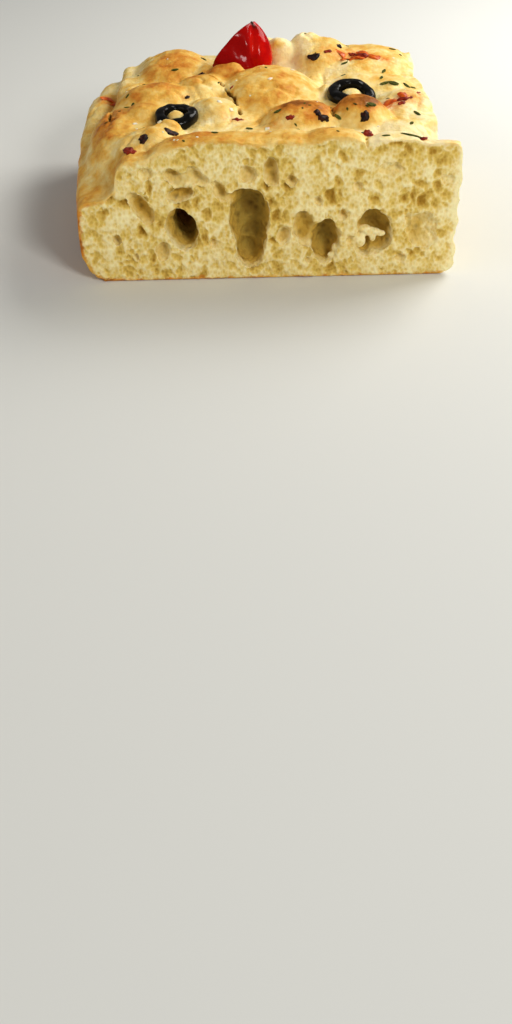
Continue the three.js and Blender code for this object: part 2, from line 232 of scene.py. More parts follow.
ledge = add_block((LEFT, FRONT - SPARE, -SPARE), (body_left + 8, BACK + SPARE, LEDGE_FRONT))
bevel_edges(ledge, lambda p: p[0] < LEFT + 1 and p[2] > LEDGE_FRONT - 1, 4, 4)
finish_with(ledge, "REMESH", mode="VOXEL", voxel_size=2 * MM)
points = points_of(ledge)
rise = (LEDGE_BACK - LEDGE_FRONT) * (points[:, 1] - FRONT) / DEPTH
points[:, 2] += rise * smooth_step(0, LEDGE_FRONT, points[:, 2])
points[:, 0] += (tray_side(points[:, 1]) - LEFT) * smooth_step(body_left + 8, LEFT, points[:, 0])
move_points(ledge, points)
print("block and ledge:", triangle_count(body), triangle_count(ledge), "triangles")


# %% An egg for each mound, all risen into one
def add_egg(place, half_lengths, turn=0.0, lean=0.0, segments=32, rings=20):
    """An egg by its middle and half-lengths in millimetres. It turns about Z and leans about Y."""
    bpy.ops.mesh.primitive_uv_sphere_add(
        segments=segments,
        ring_count=rings,
        radius=1,
        location=[value * MM for value in place],
        rotation=(0, math.radians(lean), math.radians(turn)),
    )
    egg = bpy.context.object
    egg.scale = [value * MM for value in half_lengths]
    return egg


eggs = [add_egg((x, y, crown - half), (rx, ry, half), turn) for x, y, rx, ry, crown, turn, half in MOUNDS]
DOUGH_VOXEL = 0.8
dough = join([body, ledge, *eggs], "dough")
finish_with(dough, "REMESH", mode="VOXEL", voxel_size=DOUGH_VOXEL * MM)
print("risen dough:", len(dough.data.vertices), "vertices")

# %% [markdown]
# ## Dimples
# Toppings sit in bowls that fingers pressed into the risen dough. Bowls are eggs taken away by a Boolean,
# and a second remesh and some smoothing round their rims, because soft dough holds no sharp edge.

# %% Take the bowls out of the dough
bowls = [add_egg((x, y, bottom + bowl), (rx, ry, bowl)) for x, y, rx, ry, bottom, bowl in DIMPLES]
bowls = join(bowls, "bowls")
finish_with(dough, "BOOLEAN", operation="DIFFERENCE", object=bowls, solver="MANIFOLD")
bpy.data.objects.remove(bowls)
print("dough with its bowls:", len(dough.data.vertices), "vertices")

# %% Small lumps, and a round of smoothing
LUMP_HALF_HEIGHT = 5
# smaller lumps of dough, in the olive rings, against the toppings and on the mound at the back:
# x, y, half-lengths and crown
LUMPS = [
    (-26.1, -15.3, 3.6, 3.9, 43.4),
    (30.4, 0.8, 4.2, 4.2, 43.6),
    (-29, -23.6, 5.5, 3.6, 44.2),
    (22.4, 5.5, 3.2, 4, 43.6),
    (-11.5, 17.6, 5.5, 3.0, 46.4),
    (-7.5, 18.5, 4, 2.6, 46.6),
    (8.4, 38, 5.0, 4.6, 48.2),
    (18.5, 40.5, 5.5, 5, 49.2),
]
lumps = [
    add_egg((x, y, crown - LUMP_HALF_HEIGHT), (rx, ry, LUMP_HALF_HEIGHT)) for x, y, rx, ry, crown in LUMPS
]
dough = join([dough, *lumps], "dough")
finish_with(dough, "REMESH", mode="VOXEL", voxel_size=DOUGH_VOXEL * MM)
finish_with(dough, "SMOOTH", factor=0.5, iterations=5)
print("pressed dough:", len(dough.data.vertices), "vertices")

# %% [markdown]
# ## The skin's relief
# Seen close, the crust is never smooth: it swells and sinks over a centimetre, it has pea-sized bulges
# where a bubble sits just below, and fine blisters. Three Displace modifiers with cloud textures of those
# sizes do this.


# %% Swells, bulges and blisters
def roughen(piece, name, size, height):
    """Moves the skin in and out by a cloud texture whose lumps are about this many millimetres wide."""
    texture = bpy.data.textures.new(name, "CLOUDS")
    texture.noise_scale = size * MM
    texture.noise_depth = 2
    finish_with(piece, "DISPLACE", texture=texture, texture_coords="LOCAL", strength=height * MM)


# name, width and height in millimetres
RELIEF = [("swells", 11, 1.9), ("bulges", 4.6, 0.75), ("blisters", 2.0, 0.5)]
for name, size, height in RELIEF:
    roughen(dough, name, size, height)
    print(f"{name}: {size} mm wide and {height} mm high")

# %% Fold lines where the skin wrinkled
# A noise is zero along wandering lines, so a furrow wherever it is near zero gives thin folds. A second,
# slower noise leaves most of the crust without them.
LINE_SPACING, PATCH_SIZE, FURROW_DEPTH = 8.5, 17, 0.9
points = points_of(dough)
normals = normals_of(dough)
lines = np.array([noise_value(Vector(point) / LINE_SPACING) for point in points])
here = np.array([noise_value(Vector(point) / PATCH_SIZE + Vector((7, 3, 1))) for point in points])
furrow = np.exp(-((lines / 0.05) ** 2)) * smooth_step(-0.05, 0.25, here)
furrow *= smooth_step(26, 36, points[:, 2])
points -= normals * (FURROW_DEPTH * furrow)[:, None]
print(f"fold lines on {np.mean(furrow > 0.3):.1%} of the dough")

# %% The tray rounded the dough's lower corner
above = np.clip(1 - points[:, 2] / TRAY_CORNER_HEIGHT, 0, 1)
near_tray = np.clip(1 - (points[:, 0] - tray_side(points[:, 1])) / TRAY_CORNER_REACH, 0, 1)
points[:, 0] += TRAY_CORNER_INSET * (1 - np.sqrt(1 - above**2)) * near_tray
past_tray = np.minimum(points[:, 0] - tray_side(points[:, 1]), 0)
points[:, 0] -= 0.75 * past_tray
print(f"{np.sum(past_tray < 0)} vertices that bulged past the tray were drawn back")

# %% The rear left corner sank, and near the front the body stands back from the ledge
SUNK_BY, STEP_BACK, BODY_SLOPE = 3.4, 2.4, 0.25
sunk = SUNK_BY * smooth_step(-37, -43, points[:, 0]) * smooth_step(22, 38, points[:, 1])
points[:, 2] -= sunk * smooth_step(28, 37, points[:, 2])
step_back = STEP_BACK + BODY_SLOPE * np.clip(points[:, 2] - 30, 0, 12)
step_back *= smooth_step(-20, -38, points[:, 1]) * smooth_step(27, 31, points[:, 2])
points[:, 0] += step_back * smooth_step(-26, -44, points[:, 0])
move_points(dough, points)
print(f"the corner sank by {sunk.max():.1f} mm, and the body stands back by up to {step_back.max():.1f} mm")


# %% [markdown]
# ## Knife cuts
# The bisect operator is a knife that goes right through: it takes off what lies outside its plane and
# closes the cut with a face. The uncut dough is kept as a search tree, because how far a point lies below
# the old skin says later what is crust and what is crumb.

# %% Pull the front right corner out, as the knife left it
PULL_FROM = 35  # dough to the left of this x stays where it is


def pull_corner(points):
    """The right-hand cut runs out towards the front corner."""
    share = np.clip((FRONT + CORNER_LENGTH - points[:, 1]) / CORNER_LENGTH, 0, 1)
    fade = np.clip((points[:, 0] - PULL_FROM) / (CUT_X - PULL_FROM), 0, 1)
    points[:, 0] += CORNER_PROUD * share**2 * fade
    return points


def search_tree(piece):
    mesh = piece.data
    return BVHTree.FromPolygons([v.co for v in mesh.vertices], [tuple(p.vertices) for p in mesh.polygons])


uncut = dough.copy()
uncut.data = dough.data.copy()
move_points(uncut, pull_corner(points_of(uncut)))
skin_tree = search_tree(uncut)
print("uncut skin kept:", len(uncut.data.vertices), "vertices")
bpy.data.meshes.remove(uncut.data)


# %% Four cuts: base, front, back and right
def knife(piece, through, outwards):
    """Cuts along a plane, takes off what lies outside, and closes the cut."""
    select_only(piece)
    bpy.ops.object.mode_set(mode="EDIT")
    bpy.ops.mesh.select_all(action="SELECT")
    bpy.ops.mesh.bisect(
        plane_co=[value * MM for value in through],
        plane_no=outwards,
        use_fill=True,
        clear_outer=True,
    )
    bpy.ops.object.mode_set(mode="OBJECT")


knife(dough, (0, 0, 0), (0, 0, -1))
knife(dough, (0, FRONT, 0), (0, -1, 0))
knife(dough, (0, BACK, 0), (0, 1, 0))
knife(dough, (CUT_X, 0, 0), (1, 0, 0))
print("after the knife:", [round(value / MM, 1) for value in dough.dimensions])

# %% [markdown]
# ## Air bubbles
# A knife opens the bubbles that it meets. The large ones are eggs in the face's plane, dented by noise so
# that none is perfectly round, and a Boolean takes them all away at once. Those of the front face are
# placed one by one, and those of the other two faces at random.

# %% The front face's bubbles
# x, z, width, height, how deep they run in, lean in degrees
FRONT_BUBBLES = [
    (-25.0, 16.9, 8.6, 15.4, 5.0, -16),
    (-23.7, 17.2, 8.0, 13.6, 14.0, -12),
    (-4.2, 20.4, 12.8, 20, 9.0, 3),
    (-3.7, 14.4, 10.0, 13, 8.8, -2),
    (-4.2, 9.6, 9.2, 12.4, 7.8, -4),
    (-6.8, 27.4, 8.4, 6.4, 5.0, -8),
    (12.2, 16.8, 7.0, 12.6, 4.0, -4),
    (18.8, 12.0, 9, 16, 7.5, 4),
    (33.4, 15.2, 11, 15.5, 6.6, -4),
    (31.0, 10.2, 6.5, 8.0, 5.0, 20),
    (46.4, 15.2, 8.6, 13.0, 3.2, 0),
    (-36.6, 24.4, 6.2, 12.4, 4.0, -30),
    (2.2, 35.6, 5.0, 10.4, 3.6, -6),
    (-4.6, 35, 6.2, 5.6, 2.8, -30),
    (-24.6, 28.6, 8.6, 4.8, 4.0, -14),
    (5.9, 14.2, 4.2, 7.6, 3.4, 8),
    (16.4, 25.7, 3.3, 4.2, 2.4, 0),
    (-13.0, 29.6, 4.0, 8.2, 3.0, -26),
    (-26.2, 34.0, 4.8, 9.0, 3.2, -40),
    (-19.4, 34.4, 4.8, 8.4, 3.0, -38),
    (-22.6, 33.6, 2.4, 6.0, 2.2, -40),
    (8.4, 32.6, 3.5, 4.8, 2.6, 0),
    (24.0, 21, 3.2, 4.4, 2.6, 0),
    (42.6, 18.6, 2.8, 6, 2.6, 0),
    (-30.6, 9.8, 4.8, 7.2, 3.2, 6),
    (41.2, 5.8, 3.4, 3.6, 2.4, 0),
    (37.2, 36, 6.5, 4.6, 1.6, 0),
    (28.0, 30, 3.2, 3.6, 2.0, 0),
    (52.0, 32, 4, 4.6, 1.8, 0),
    (-44.6, 14, 3.2, 4.4, 2.6, -10),
    (-39.0, 8, 2.8, 3.2, 2.2, 0),
    (-34.8, 35.6, 4.6, 4.8, 2.0, -20),
    (13.6, 5.6, 3.2, 3.0, 2.2, 0),
    (26.2, 12.0, 2.6, 5.0, 2.2, 0),
    (-15.0, 12.0, 2.6, 4.2, 2.2, 8),
]
print(len(FRONT_BUBBLES), "bubbles placed in the front face")

# %% Bubbles at random for the right-hand and back faces
TRIES = 6000
APART = 0.56  # least distance between two middles, as a share of their sizes added
draw = random.Random(11)


def random_bubbles(length, large, small):
    """Large bubbles lie low in the crumb and small ones all over, with none on top of another."""
    placed = []
    for _ in range(TRIES):
        if len(placed) == large + small:
            break
        is_large = len(placed) < large
        width = draw.uniform(5.0, 10.5) if is_large else draw.uniform(1.8, 5.0)
        height = width * draw.uniform(0.9, 2.0)
        across = draw.uniform(-0.5, 0.5) * (length - width - 8)
        lowest = height / 2 + 2.5
        up = draw.uniform(lowest, max(lowest + 1, (28 if is_large else 37) - height / 2))
        gaps = [
            math.hypot((a - across) / (w + width), (b - up) / (h + height)) for a, b, w, h, *_ in placed
        ]
        if not gaps or min(gaps) > APART:
            deep = width * draw.uniform(0.4, 0.9)
            placed.append((across, up, width, height, deep, draw.uniform(-25, 25)))
    return placed


RIGHT_BUBBLES = random_bubbles(DEPTH - 12, 5, 30)
BACK_BUBBLES = random_bubbles(WIDTH - 22, 6, 36)
print(len(RIGHT_BUBBLES), "bubbles for the right-hand cut and", len(BACK_BUBBLES), "for the back")


# %% Make the eggs and dent them
def face_matrix(x, y, turn):
    """Sets a face that is laid out along X, with its inside towards +Y, in its place round the slice."""
    return Matrix.Translation((x * MM, y * MM, 0)) @ Matrix.Rotation(math.radians(turn), 4, "Z")


FACES = {
    "front": (face_matrix(0, FRONT, 0), FRONT_BUBBLES),
    "right": (face_matrix(CUT_X, 0, 90), RIGHT_BUBBLES),
    "back": (face_matrix(2, BACK, 180), BACK_BUBBLES),
}
bubbles = []
for matrix, table in FACES.values():
    for across, up, width, height, deep, lean in table:
        segments = 28 if width > 5 else 16
        half_lengths = (width / 2, deep, height / 2)
        egg = add_egg((across, 0, up), half_lengths, 0, lean, segments, segments * 2 // 3)
        settle(egg)
        egg.data.transform(matrix)
        bubbles.append(egg)
bubbles = join(bubbles, "bubbles")
finish_with(bubbles, "REMESH", mode="VOXEL", voxel_size=0.5 * MM)
finish_with(bubbles, "SMOOTH", factor=0.5, iterations=12)
roughen(bubbles, "dents", 3.4, 1.8)
roughen(bubbles, "small_dents", 1.2, 1.3)
print("bubbles:", len(bubbles.data.vertices), "vertices")

# %% Cracks where the crust tore and folded between the mounds
# x and y of points along each crack, its half-width and its depth
CRACKS = [
    ([(-13, 11), (-10.8, 6.6), (-9.4, 2.5), (-8.2, -0.7), (-6.6, -8.2), (-6, -12)], 0.55, 2.4),
    ([(-13, 11), (-16, 13.5)], 0.5, 1.6),
    ([(20.6, -6), (22.4, -11), (22.9, -16), (22.2, -20)], 0.7, 1.8),
    ([(30.2, -46), (30.3, -42), (30.8, -38)], 0.45, 1.6),
    ([(-47, -1), (-47.8, -6), (-47.4, -14)], 0.9, 1.8),
    ([(-9, -29), (-3.5, -30), (3, -28.5)], 0.6, 1.0),
    ([(-46, 12), (-49, 8.5), (-50.5, 4)], 0.8, 1.6),
]
OVERHEAD = 70  # a height above the slice, from which a ray looks down


def top_of_dough(x, y):
    """The height of the uncut dough above the base."""
    return skin_tree.ray_cast(Vector((x, y, OVERHEAD)) * MM, Vector((0, 0, -1)))[0].z / MM


def crack_eggs(route, half_width, depth):
    """Thin eggs in a wandering line along the surface, which together cut a crack."""
    made = []
    for start, end in zip(route, route[1:]):
        step = Vector(end) - Vector(start)
        count = max(2, round(step.length / 1.2))
        turn = math.degrees(math.atan2(step.y, step.x))
        for k in range(count):
            x, y = Vector(start) + step * (k + 0.5) / count
            x += draw.uniform(-0.35, 0.35)
            half_thick = half_width * draw.uniform(0.6, 1.4)
            size = (step.length / count, half_thick, depth * draw.uniform(0.8, 1.2))
            made.append(add_egg((x, y, top_of_dough(x, y)), size, turn, segments=12, rings=8))
    return made


cracks = [egg for row in CRACKS for egg in crack_eggs(*row)]
cracks = join(cracks, "cracks")
finish_with(cracks, "REMESH", mode="VOXEL", voxel_size=0.3 * MM)
roughen(cracks, "ragged", 1.0, 0.5)
hollows = join([bubbles, cracks], "hollows")
finish_with(dough, "BOOLEAN", operation="DIFFERENCE", object=hollows, solver="MANIFOLD")
hollow_tree = search_tree(hollows)
bpy.data.objects.remove(hollows)
print("dough with bubbles:", len(dough.data.vertices), "vertices")

# %% Shreds of crumb that the knife tore and left hanging in two of the bubbles
# x, y, z and half-lengths
TORN = [
    (30.8, -42.6, 15.2, 2.0, 1.4, 1.3),
    (32.4, -42.2, 14.0, 2.1, 1.3, 1.5),
    (34.2, -42.6, 14.0, 1.6, 1.2, 1.2),
    (35.8, -43.0, 13.6, 1.3, 1.0, 1.0),
    (33.4, -42.8, 12.2, 1.0, 0.9, 1.5),
    (29.6, -42.8, 11.2, 1.8, 1.3, 2.4),
    (22.3, -42.6, 8.8, 1.4, 1.2, 1.7),
    (21.4, -42.8, 6.4, 1.8, 1.1, 1.1),
]
torn = [add_egg((x, y, z), (rx, ry, rz), segments=14, rings=10) for x, y, z, rx, ry, rz in TORN]
dough = join([dough, *torn], "bread")
CRUMB_VOXEL = 0.42
finish_with(dough, "REMESH", mode="VOXEL", voxel_size=CRUMB_VOXEL * MM)
print("bread:", len(dough.data.vertices), "vertices")

# %% [markdown]
# ## The crumb
# Between the large bubbles the crumb is a foam: cells a millimetre or two wide, mostly upright, with thin
# walls shared between neighbours. Cutting each one would be slow. A foam is what comes of giving every
# point to its nearest seed, so the wall is where two seeds are equally far, and each vertex of the face
# is pushed in by how far it lies from a wall. Only some cells were opened by the knife, which is why each
# has its own depth.


# %% A foam's depth at each point of a face
seed_set(3)  # without a seed, the vector noise takes its start from the clock and every run differs a little


def wander(across, up, size, amount, seed):
    """Shifts points by smooth noise, so that no cell is a tidy shape."""
    shifts = [noise_vector(Vector((a / size, b / size, seed))) for a, b in zip(across, up)]
    shifts = np.array([(shift.x, shift.y) for shift in shifts])
    return across + amount * shifts[:, 0], up + amount * shifts[:, 1]


def foam_depth(across, up, spacing, stretch, open_share, deepest, seed):
    """How deep each point lies in a foam of cells of about this width, taller than wide by the stretch."""
    rng = np.random.default_rng(seed)
    columns = np.arange(-64, 64, spacing)
    rows = np.arange(-2, 52, spacing * stretch)
    seeds = np.array([(a, b) for a in columns for b in rows])
    seeds += rng.uniform(-0.48, 0.48, seeds.shape) * (spacing, spacing * stretch)
    finder = KDTree(len(seeds))
    for index, (a, b) in enumerate(seeds):
        finder.insert((a, b / stretch, 0), index)
    finder.balance()
    opened = rng.random(len(seeds)) < open_share
    cell_deep = np.where(opened, rng.uniform(0.35, 1, len(seeds)), 0.06) * deepest
    across, up = wander(across, up, spacing * 1.3, spacing * 0.42, seed)
    depth = np.empty(len(across))
    for k, (a, b) in enumerate(zip(across, up)):
        (_, mine, near), (_, _, far) = finder.find_n((a, b / stretch, 0), 2)
        wall = min(1, (far - near) / (0.75 * spacing))
        depth[k] = cell_deep[mine] * wall**0.7
    return depth


# %% Push the foam into the three cut faces
def skin_distance(points):
    """How far each point lies from the uncut dough's skin, in millimetres."""
    return np.array([skin_tree.find_nearest(Vector(point) * MM)[3] / MM for point in points])


points = points_of(dough)
normals = normals_of(dough)
below_skin = skin_distance(points)
crumb_only = smooth_step(0.15, 0.9, np.minimum(below_skin, points[:, 2] + 0.3))
in_cell = np.zeros(len(points))
for number, (name, (matrix, _)) in enumerate(FACES.items()):
    local = (np.c_[points * MM, np.ones(len(points))] @ np.array(matrix.inverted()).T)[:, :3] / MM
    outward = np.array(matrix.to_3x3() @ Vector((0, -1, 0)))
    on_face = (local[:, 1] < 0.5) & (normals @ outward > 0.5)
    across, up = local[on_face, 0], local[on_face, 2]
    length = DEPTH if name == "right" else WIDTH
    coarse = foam_depth(across, up, 3.1, 1.5, 0.4, 1.6, 10 + number)
    middle = foam_depth(across, up, 1.6, 1.5, 0.5, 0.8, 20 + number)
    fine = foam_depth(across, up, 1.15, 1.1, 0.7, 0.45, 30 + number)
    waves = np.array([noise_value(Vector((a / 7, b / 7, number))) for a, b in zip(across, up)])
    airy = np.array([noise_value(Vector((a / 8, b / 8, number + 5))) for a, b in zip(across, up)])
    foam = np.maximum(coarse, middle) * (0.9 + 0.9 * airy) + 0.6 * fine
    depth = foam - 0.25 + 0.2 * waves
    # Near the corners of each face the foam is made shallower, and the colour there is painted paler, as
    # painted light along the edge of the cut.
    to_corner = across if name == "front" else np.abs(across)
    shallow_lit_edge = 1 - 0.75 * smooth_step(length / 2 - 6, length / 2 - 2, to_corner)
    depth *= shallow_lit_edge
    points[on_face] -= outward * (depth * crumb_only[on_face])[:, None]
    in_cell[on_face] = np.clip(foam / 1.5, 0, 1) * shallow_lit_edge * crumb_only[on_face]
    in_cell[on_face] -= 0.8 * (1 - shallow_lit_edge)
    print(f"{name}: foam pushed into {on_face.sum()} vertices")

# %% Leave the foot and the front right corner crumbly
CRUMB_SIZE, LUMP_SIZE, UNEVEN_BY = 1.7, 5, 1.1
crumbly = np.array([noise_vector(Vector(point) / CRUMB_SIZE)[:] for point in points])
loose = (0.6 + 0.5 * smooth_step(-35, -50, points[:, 0])) * smooth_step(5, 0.5, points[:, 2])
points += crumbly * (loose * smooth_step(0, 0.4, points[:, 2]))[:, None]
uneven = np.array([noise_value(Vector(point) / LUMP_SIZE) for point in points])
at_corner = smooth_step(7, 0, CUT_X - points[:, 0]) * smooth_step(7, 0, points[:, 1] - FRONT)
points[:, 0] += UNEVEN_BY * uneven * at_corner
print(f"crumbly: {np.sum(loose > 0)} vertices at the foot and {np.sum(at_corner > 0)} at the corner")

# %% Dent the right-hand cut, round its lower edge and pull its corner
DENT_Y, DENT_HALF, DENT_DEPTH = 22, 7, 1.8
FOOT_HEIGHT, FOOT_INSET, FOOT_REACH = 5, 3.8, 8
dent = np.exp(-(((points[:, 1] - DENT_Y) / DENT_HALF) ** 2)) * smooth_step(20, 34, points[:, 2])
points[:, 0] -= DENT_DEPTH * dent * smooth_step(12, 0, CUT_X - points[:, 0])
low_edge = np.clip(1 - points[:, 2] / FOOT_HEIGHT, 0, 1)
near_cut = np.clip(1 - (CUT_X - points[:, 0]) / FOOT_REACH, 0, 1)
points[:, 0] -= FOOT_INSET * (1 - np.sqrt(1 - low_edge**2)) * near_cut
move_points(dough, pull_corner(points))
print("bread:", np.ptp(points, axis=0).round(1), "mm")

# %% Thin the mesh where it is flat, and find each vertex's cell again
TRIANGLE_LIMIT = 196_000
cell_finder = KDTree(len(points))
for index, point in enumerate(points):
    cell_finder.insert(point, index)
cell_finder.balance()
kept_share = TRIANGLE_LIMIT / triangle_count(dough)
finish_with(dough, "DECIMATE", ratio=kept_share, use_collapse_triangulate=True)
points = points_of(dough)
in_cell = in_cell[[cell_finder.find(point)[1] for point in points]]
print("bread:", triangle_count(dough), "triangles")

# %% [markdown]
# ## What the colours follow
# An oven browns what stands up and leaves what lies low pale. Five numbers are kept at each vertex: how
# much it is crust, how deep it lies in a cell, how deep in a bubble, how much it is baked, with some
# painted shade added to that, and how much it is stained.

# %% Crust, and how deep a point lies behind the cuts
below_skin = skin_distance(points)
ragged = np.array([fractal(Vector(point) / 2.0, 0.8, 2.0, 3) for point in points])
crust_depth = np.minimum(below_skin, 0.95 * points[:, 2] + 0.3) + 0.7 * ragged
crust = 1 - smooth_step(0.1, 1.5, crust_depth)
behind_cut = np.minimum(points[:, 1] - FRONT, BACK - points[:, 1])
behind_cut = np.minimum(behind_cut, CUT_X + CORNER_PROUD - points[:, 0])
to_hollow = np.array([hollow_tree.find_nearest(Vector(point) * MM)[3] / MM for point in points])
# How deep a point lies in a bubble, behind the cut, later darkens the crumb's colour there: painted shade in
# the hollow.
hollow = (1 - smooth_step(0.3, 0.9, to_hollow)) * np.clip((behind_cut - 0.6) / 12, 0, 1) * (1 - crust)
store_values(dough, "crust", crust)
store_values(dough, "in_cell", in_cell)
store_values(dough, "hollow", hollow)
print(f"{np.mean(crust > 0.5):.0%} of the vertices are crust, {np.mean(hollow > 0.1):.0%} lie in a bubble")

# %% Where the oven browned it, and where shade is painted on
# x, y, half-length in x, half-length in y, how much browner; below 0 is paler
# Most spots are real browning. Several browner spots on the left half are partly painted shade, as the light
# comes from the right, and the spot at -44, -38 is painted shade in the crease where the ledge meets the
# body.
BROWNED_AND_SHADED = [
    (-29, 20, 14, 16, 0.23),
    (-38, 10, 7, 14, 0.12),
    (-26, 31, 12, 9, 0.06),
    (-40, -20, 8, 16, 0.12),
    (-44, -38, 4, 6, 0.3),
    (-48, -12, 5, 22, 0.15),
    (-30, -39, 12, 5, 0.2),
    (-18, -41, 20, 5, 0.14),
    (10, -43, 22, 5, 0.06),
    (3, 12, 17, 13, 0.04),
    (9, 1, 9, 7, 0.16),
    (-3, -8, 7, 8, 0.12),
    (12, -13, 12, 8, 0.34),
    (7, -19, 8, 7, 0.3),
    (18, -18, 7, 7, 0.22),
    (31.5, -13.5, 9.5, 9, 0.4),
    (29, -20, 7, 7, 0.14),
    (40, -19, 7, 7, 0.12),
    (16, 39, 8, 6, -0.4),
    (8, 40, 7, 6, -0.5),
    (-11, 17, 5, 3, 0.3),
    (45, 34, 16, 12, 0.12),
    (-12, -9, 8, 8, -0.07),
    (-38, -6, 9, 9, 0.14),
    (-26, -15, 9, 9, 0.04),
    (48, 13, 9, 12, 0.12),
    (46, -6, 9, 10, -0.12),
    (22, -31, 10, 4, -0.24),
    (44, -30, 12, 5, -0.36),
    (-48, 34, 8, 12, -0.22),
    (48, -42, 14, 5, -0.36),
    (34, -44, 8, 4, -0.35),
]
print(len(BROWNED_AND_SHADED), "browned or pale spots")

# %% Add up how much it is baked, with the painted shade
# The spots wander by a slow noise, so that none is a tidy oval. The tray side is brown all over and the
# foot of the front cut is paler. The base lay in the tray and browned evenly.
DRIFT, DRIFT_SIZE = 4, 11
TRAY_BROWN, BASE_BROWN, BASE_EDGE = 0.68, 0.6, 2.2
x, y, z = points.T
drift = np.array([noise_vector(Vector(point) / DRIFT_SIZE)[:] for point in points])
x, y = x + DRIFT * drift[:, 0], y + DRIFT * drift[:, 1]
baked_and_shaded = 0.24 + 0.04 * (z - 42)
for spot_x, spot_y, half_x, half_y, more in BROWNED_AND_SHADED:
    share = ((x - spot_x) / half_x) ** 2 + ((y - spot_y) / half_y) ** 2
    baked_and_shaded += more * np.exp(-1.1 * share)
side = smooth_step(34, 20, z)
baked_and_shaded = baked_and_shaded * (1 - side) + TRAY_BROWN * side
# The crown along the left edge is browner, partly real browning and partly painted shade on the side away
# from the light.
baked_and_shaded += 0.34 * smooth_step(-43, -50, x) * (1 - side)
baked_and_shaded -= 0.35 * smooth_step(12, 4, z) * smooth_step(-36, -44, y)
baked_and_shaded = np.where(z < BASE_EDGE, BASE_BROWN, baked_and_shaded)
# Browner towards the left, partly real browning and partly painted shade, and paler towards the right as
# painted light, since the light comes from the right.
baked_and_shaded += 0.12 * smooth_step(10, -40, x) - 0.04 * smooth_step(25, 50, x)
store_values(dough, "baked_and_shaded", np.clip(baked_and_shaded, 0, 1.2))
print(f"baked: {baked_and_shaded[crust > 0.5].mean():.2f} on average over the crust")

# %% Where tomato skin and chilli oil stained it orange
# x, y, half-length in x, half-length in y, strength
STAINS = [
    (33, 30, 7, 4.5, 1.0),
    (41, 28, 6, 3.5, 0.9),
    (44, -9, 6, 3.5, 1.1),
    (50, -5, 4, 4, 0.5),
    (-50, 19.5, 4, 4, 0.9),
    (3, -25, 6, 2.5, 0.35),
    (47, -43, 3, 2, 0.4),
    (-8, -15, 3, 2, 0.4),
    (-14, 21, 5, 3, 0.4),
    (56, -40, 3, 6, 0.5),
    (25, 33, 4, 3, 0.3),
    (-23, 2, 3, 2, 0.3),
]
stained = np.zeros(len(points))
for spot_x, spot_y, half_x, half_y, strength in STAINS:
    share = ((x - spot_x) / half_x) ** 2 + ((y - spot_y) / half_y) ** 2
    stained = np.maximum(stained, strength * np.exp(-1.5 * share))
store_values(dough, "stained", stained * crust)
select_only(dough)
bpy.ops.object.shade_smooth()
bread = dough
bread.name = bread.data.name = "bread"
print(len(STAINS), "stains on", bread.name)

# %% [markdown]
# ## Colours and nodes
# Colours are given as sRGB hex, as a colour picker shows them, and one function turns them into the
# linear values that Cycles works in. One more function adds a node of any kind, sets its values and makes
# its links.


# %% Helpers for materials
def linear(hex_colour):
    """An sRGB hex colour as linear red, green, blue and alpha."""
    channels = [int(hex_colour[k : k + 2], 16) / 255 for k in (1, 3, 5)]
    return [c / 12.92 if c <= 0.04045 else ((c + 0.055) / 1.055) ** 2.4 for c in channels] + [1.0]


def set_inputs(material, node, inputs):
    """Sets inputs by name, number or order, each to a number, a colour, a node or a node's output."""
    for key, value in inputs.items() if isinstance(inputs, dict) else enumerate(inputs):
        if isinstance(value, bpy.types.Node):
            value = value.outputs[0]
        if isinstance(value, bpy.types.NodeSocket):
            material.node_tree.links.new(value, node.inputs[key])
        else:
            node.inputs[key].default_value = value


def add_node(material, kind, inputs=(), stops=(), **settings):
    """Adds one node; stops are a colour ramp's positions and hex colours."""
    node = material.node_tree.nodes.new("ShaderNode" + kind)
    for key, value in settings.items():
        setattr(node, key, value)
    set_inputs(material, node, inputs)
    for _ in stops[2:]:
        node.color_ramp.elements.new(0.5)
    for k, (position, colour) in enumerate(stops):
        node.color_ramp.elements[k].position = position
        node.color_ramp.elements[k].color = linear(colour)
    return node


def new_material(name):
    """An empty material with its shader and output, and the Object coordinates in metres."""
    material = bpy.data.materials.new(name)
    material.use_nodes = True
    material.node_tree.nodes.clear()
    shader = add_node(material, "BsdfPrincipled")
    add_node(material, "OutputMaterial", {"Surface": shader})
    return material, shader, add_node(material, "TexCoord").outputs["Object"]


def lumps_of(place, size, detail=3):
    """A noise's inputs for lumps about this many millimetres wide."""
    return {"Vector": place, "Scale": 1 / (size * MM), "Detail": detail, "Roughness": 0.55}


# %% [markdown]
# ## Baked dough
# Crust is starch and sugar browned in olive oil: pale straw where it stayed low, gold, and chestnut on
# the crowns, with a soft oily shine. Crumb is set dough, cream to straw, matt, and light passes a little
# way through its thin walls. Its pits and bubbles are painted darker, as painted shade. Both are one
# material, and the numbers kept at the vertices tell them apart.

# %% Patterns and numbers that the dough's colours use
dough_material, shader, place = new_material("baked_dough")
PATCH, BLOTCH, FRECKLE, GRAIN, PORE, SPECK = 9, 4.5, 1.6, 0.5, 1.0, 3.0  # widths in millimetres
patches, blotches, freckles, grain = [
    add_node(dough_material, "TexNoise", lumps_of(place, size, detail))
    for size, detail in ((PATCH, 3), (BLOTCH, 3), (FRECKLE, 2), (GRAIN, 3))
]
upright = add_node(dough_material, "Mapping", {"Vector": place, "Scale": (1, 1, 0.72)})
pores = add_node(dough_material, "TexVoronoi", {"Vector": upright, "Scale": 1 / (PORE * MM)})
specks = add_node(dough_material, "TexVoronoi", {"Vector": place, "Scale": 1 / (SPECK * MM)})
baked_and_shaded_here, stained_here, crust_here, cell_here, hollow_here = [
    add_node(dough_material, "Attribute", attribute_name=name).outputs["Fac"]
    for name in ("baked_and_shaded", "stained", "crust", "in_cell", "hollow")
]
print("baked dough: patterns of", PATCH, BLOTCH, SPECK, FRECKLE, PORE, "and", GRAIN, "mm")
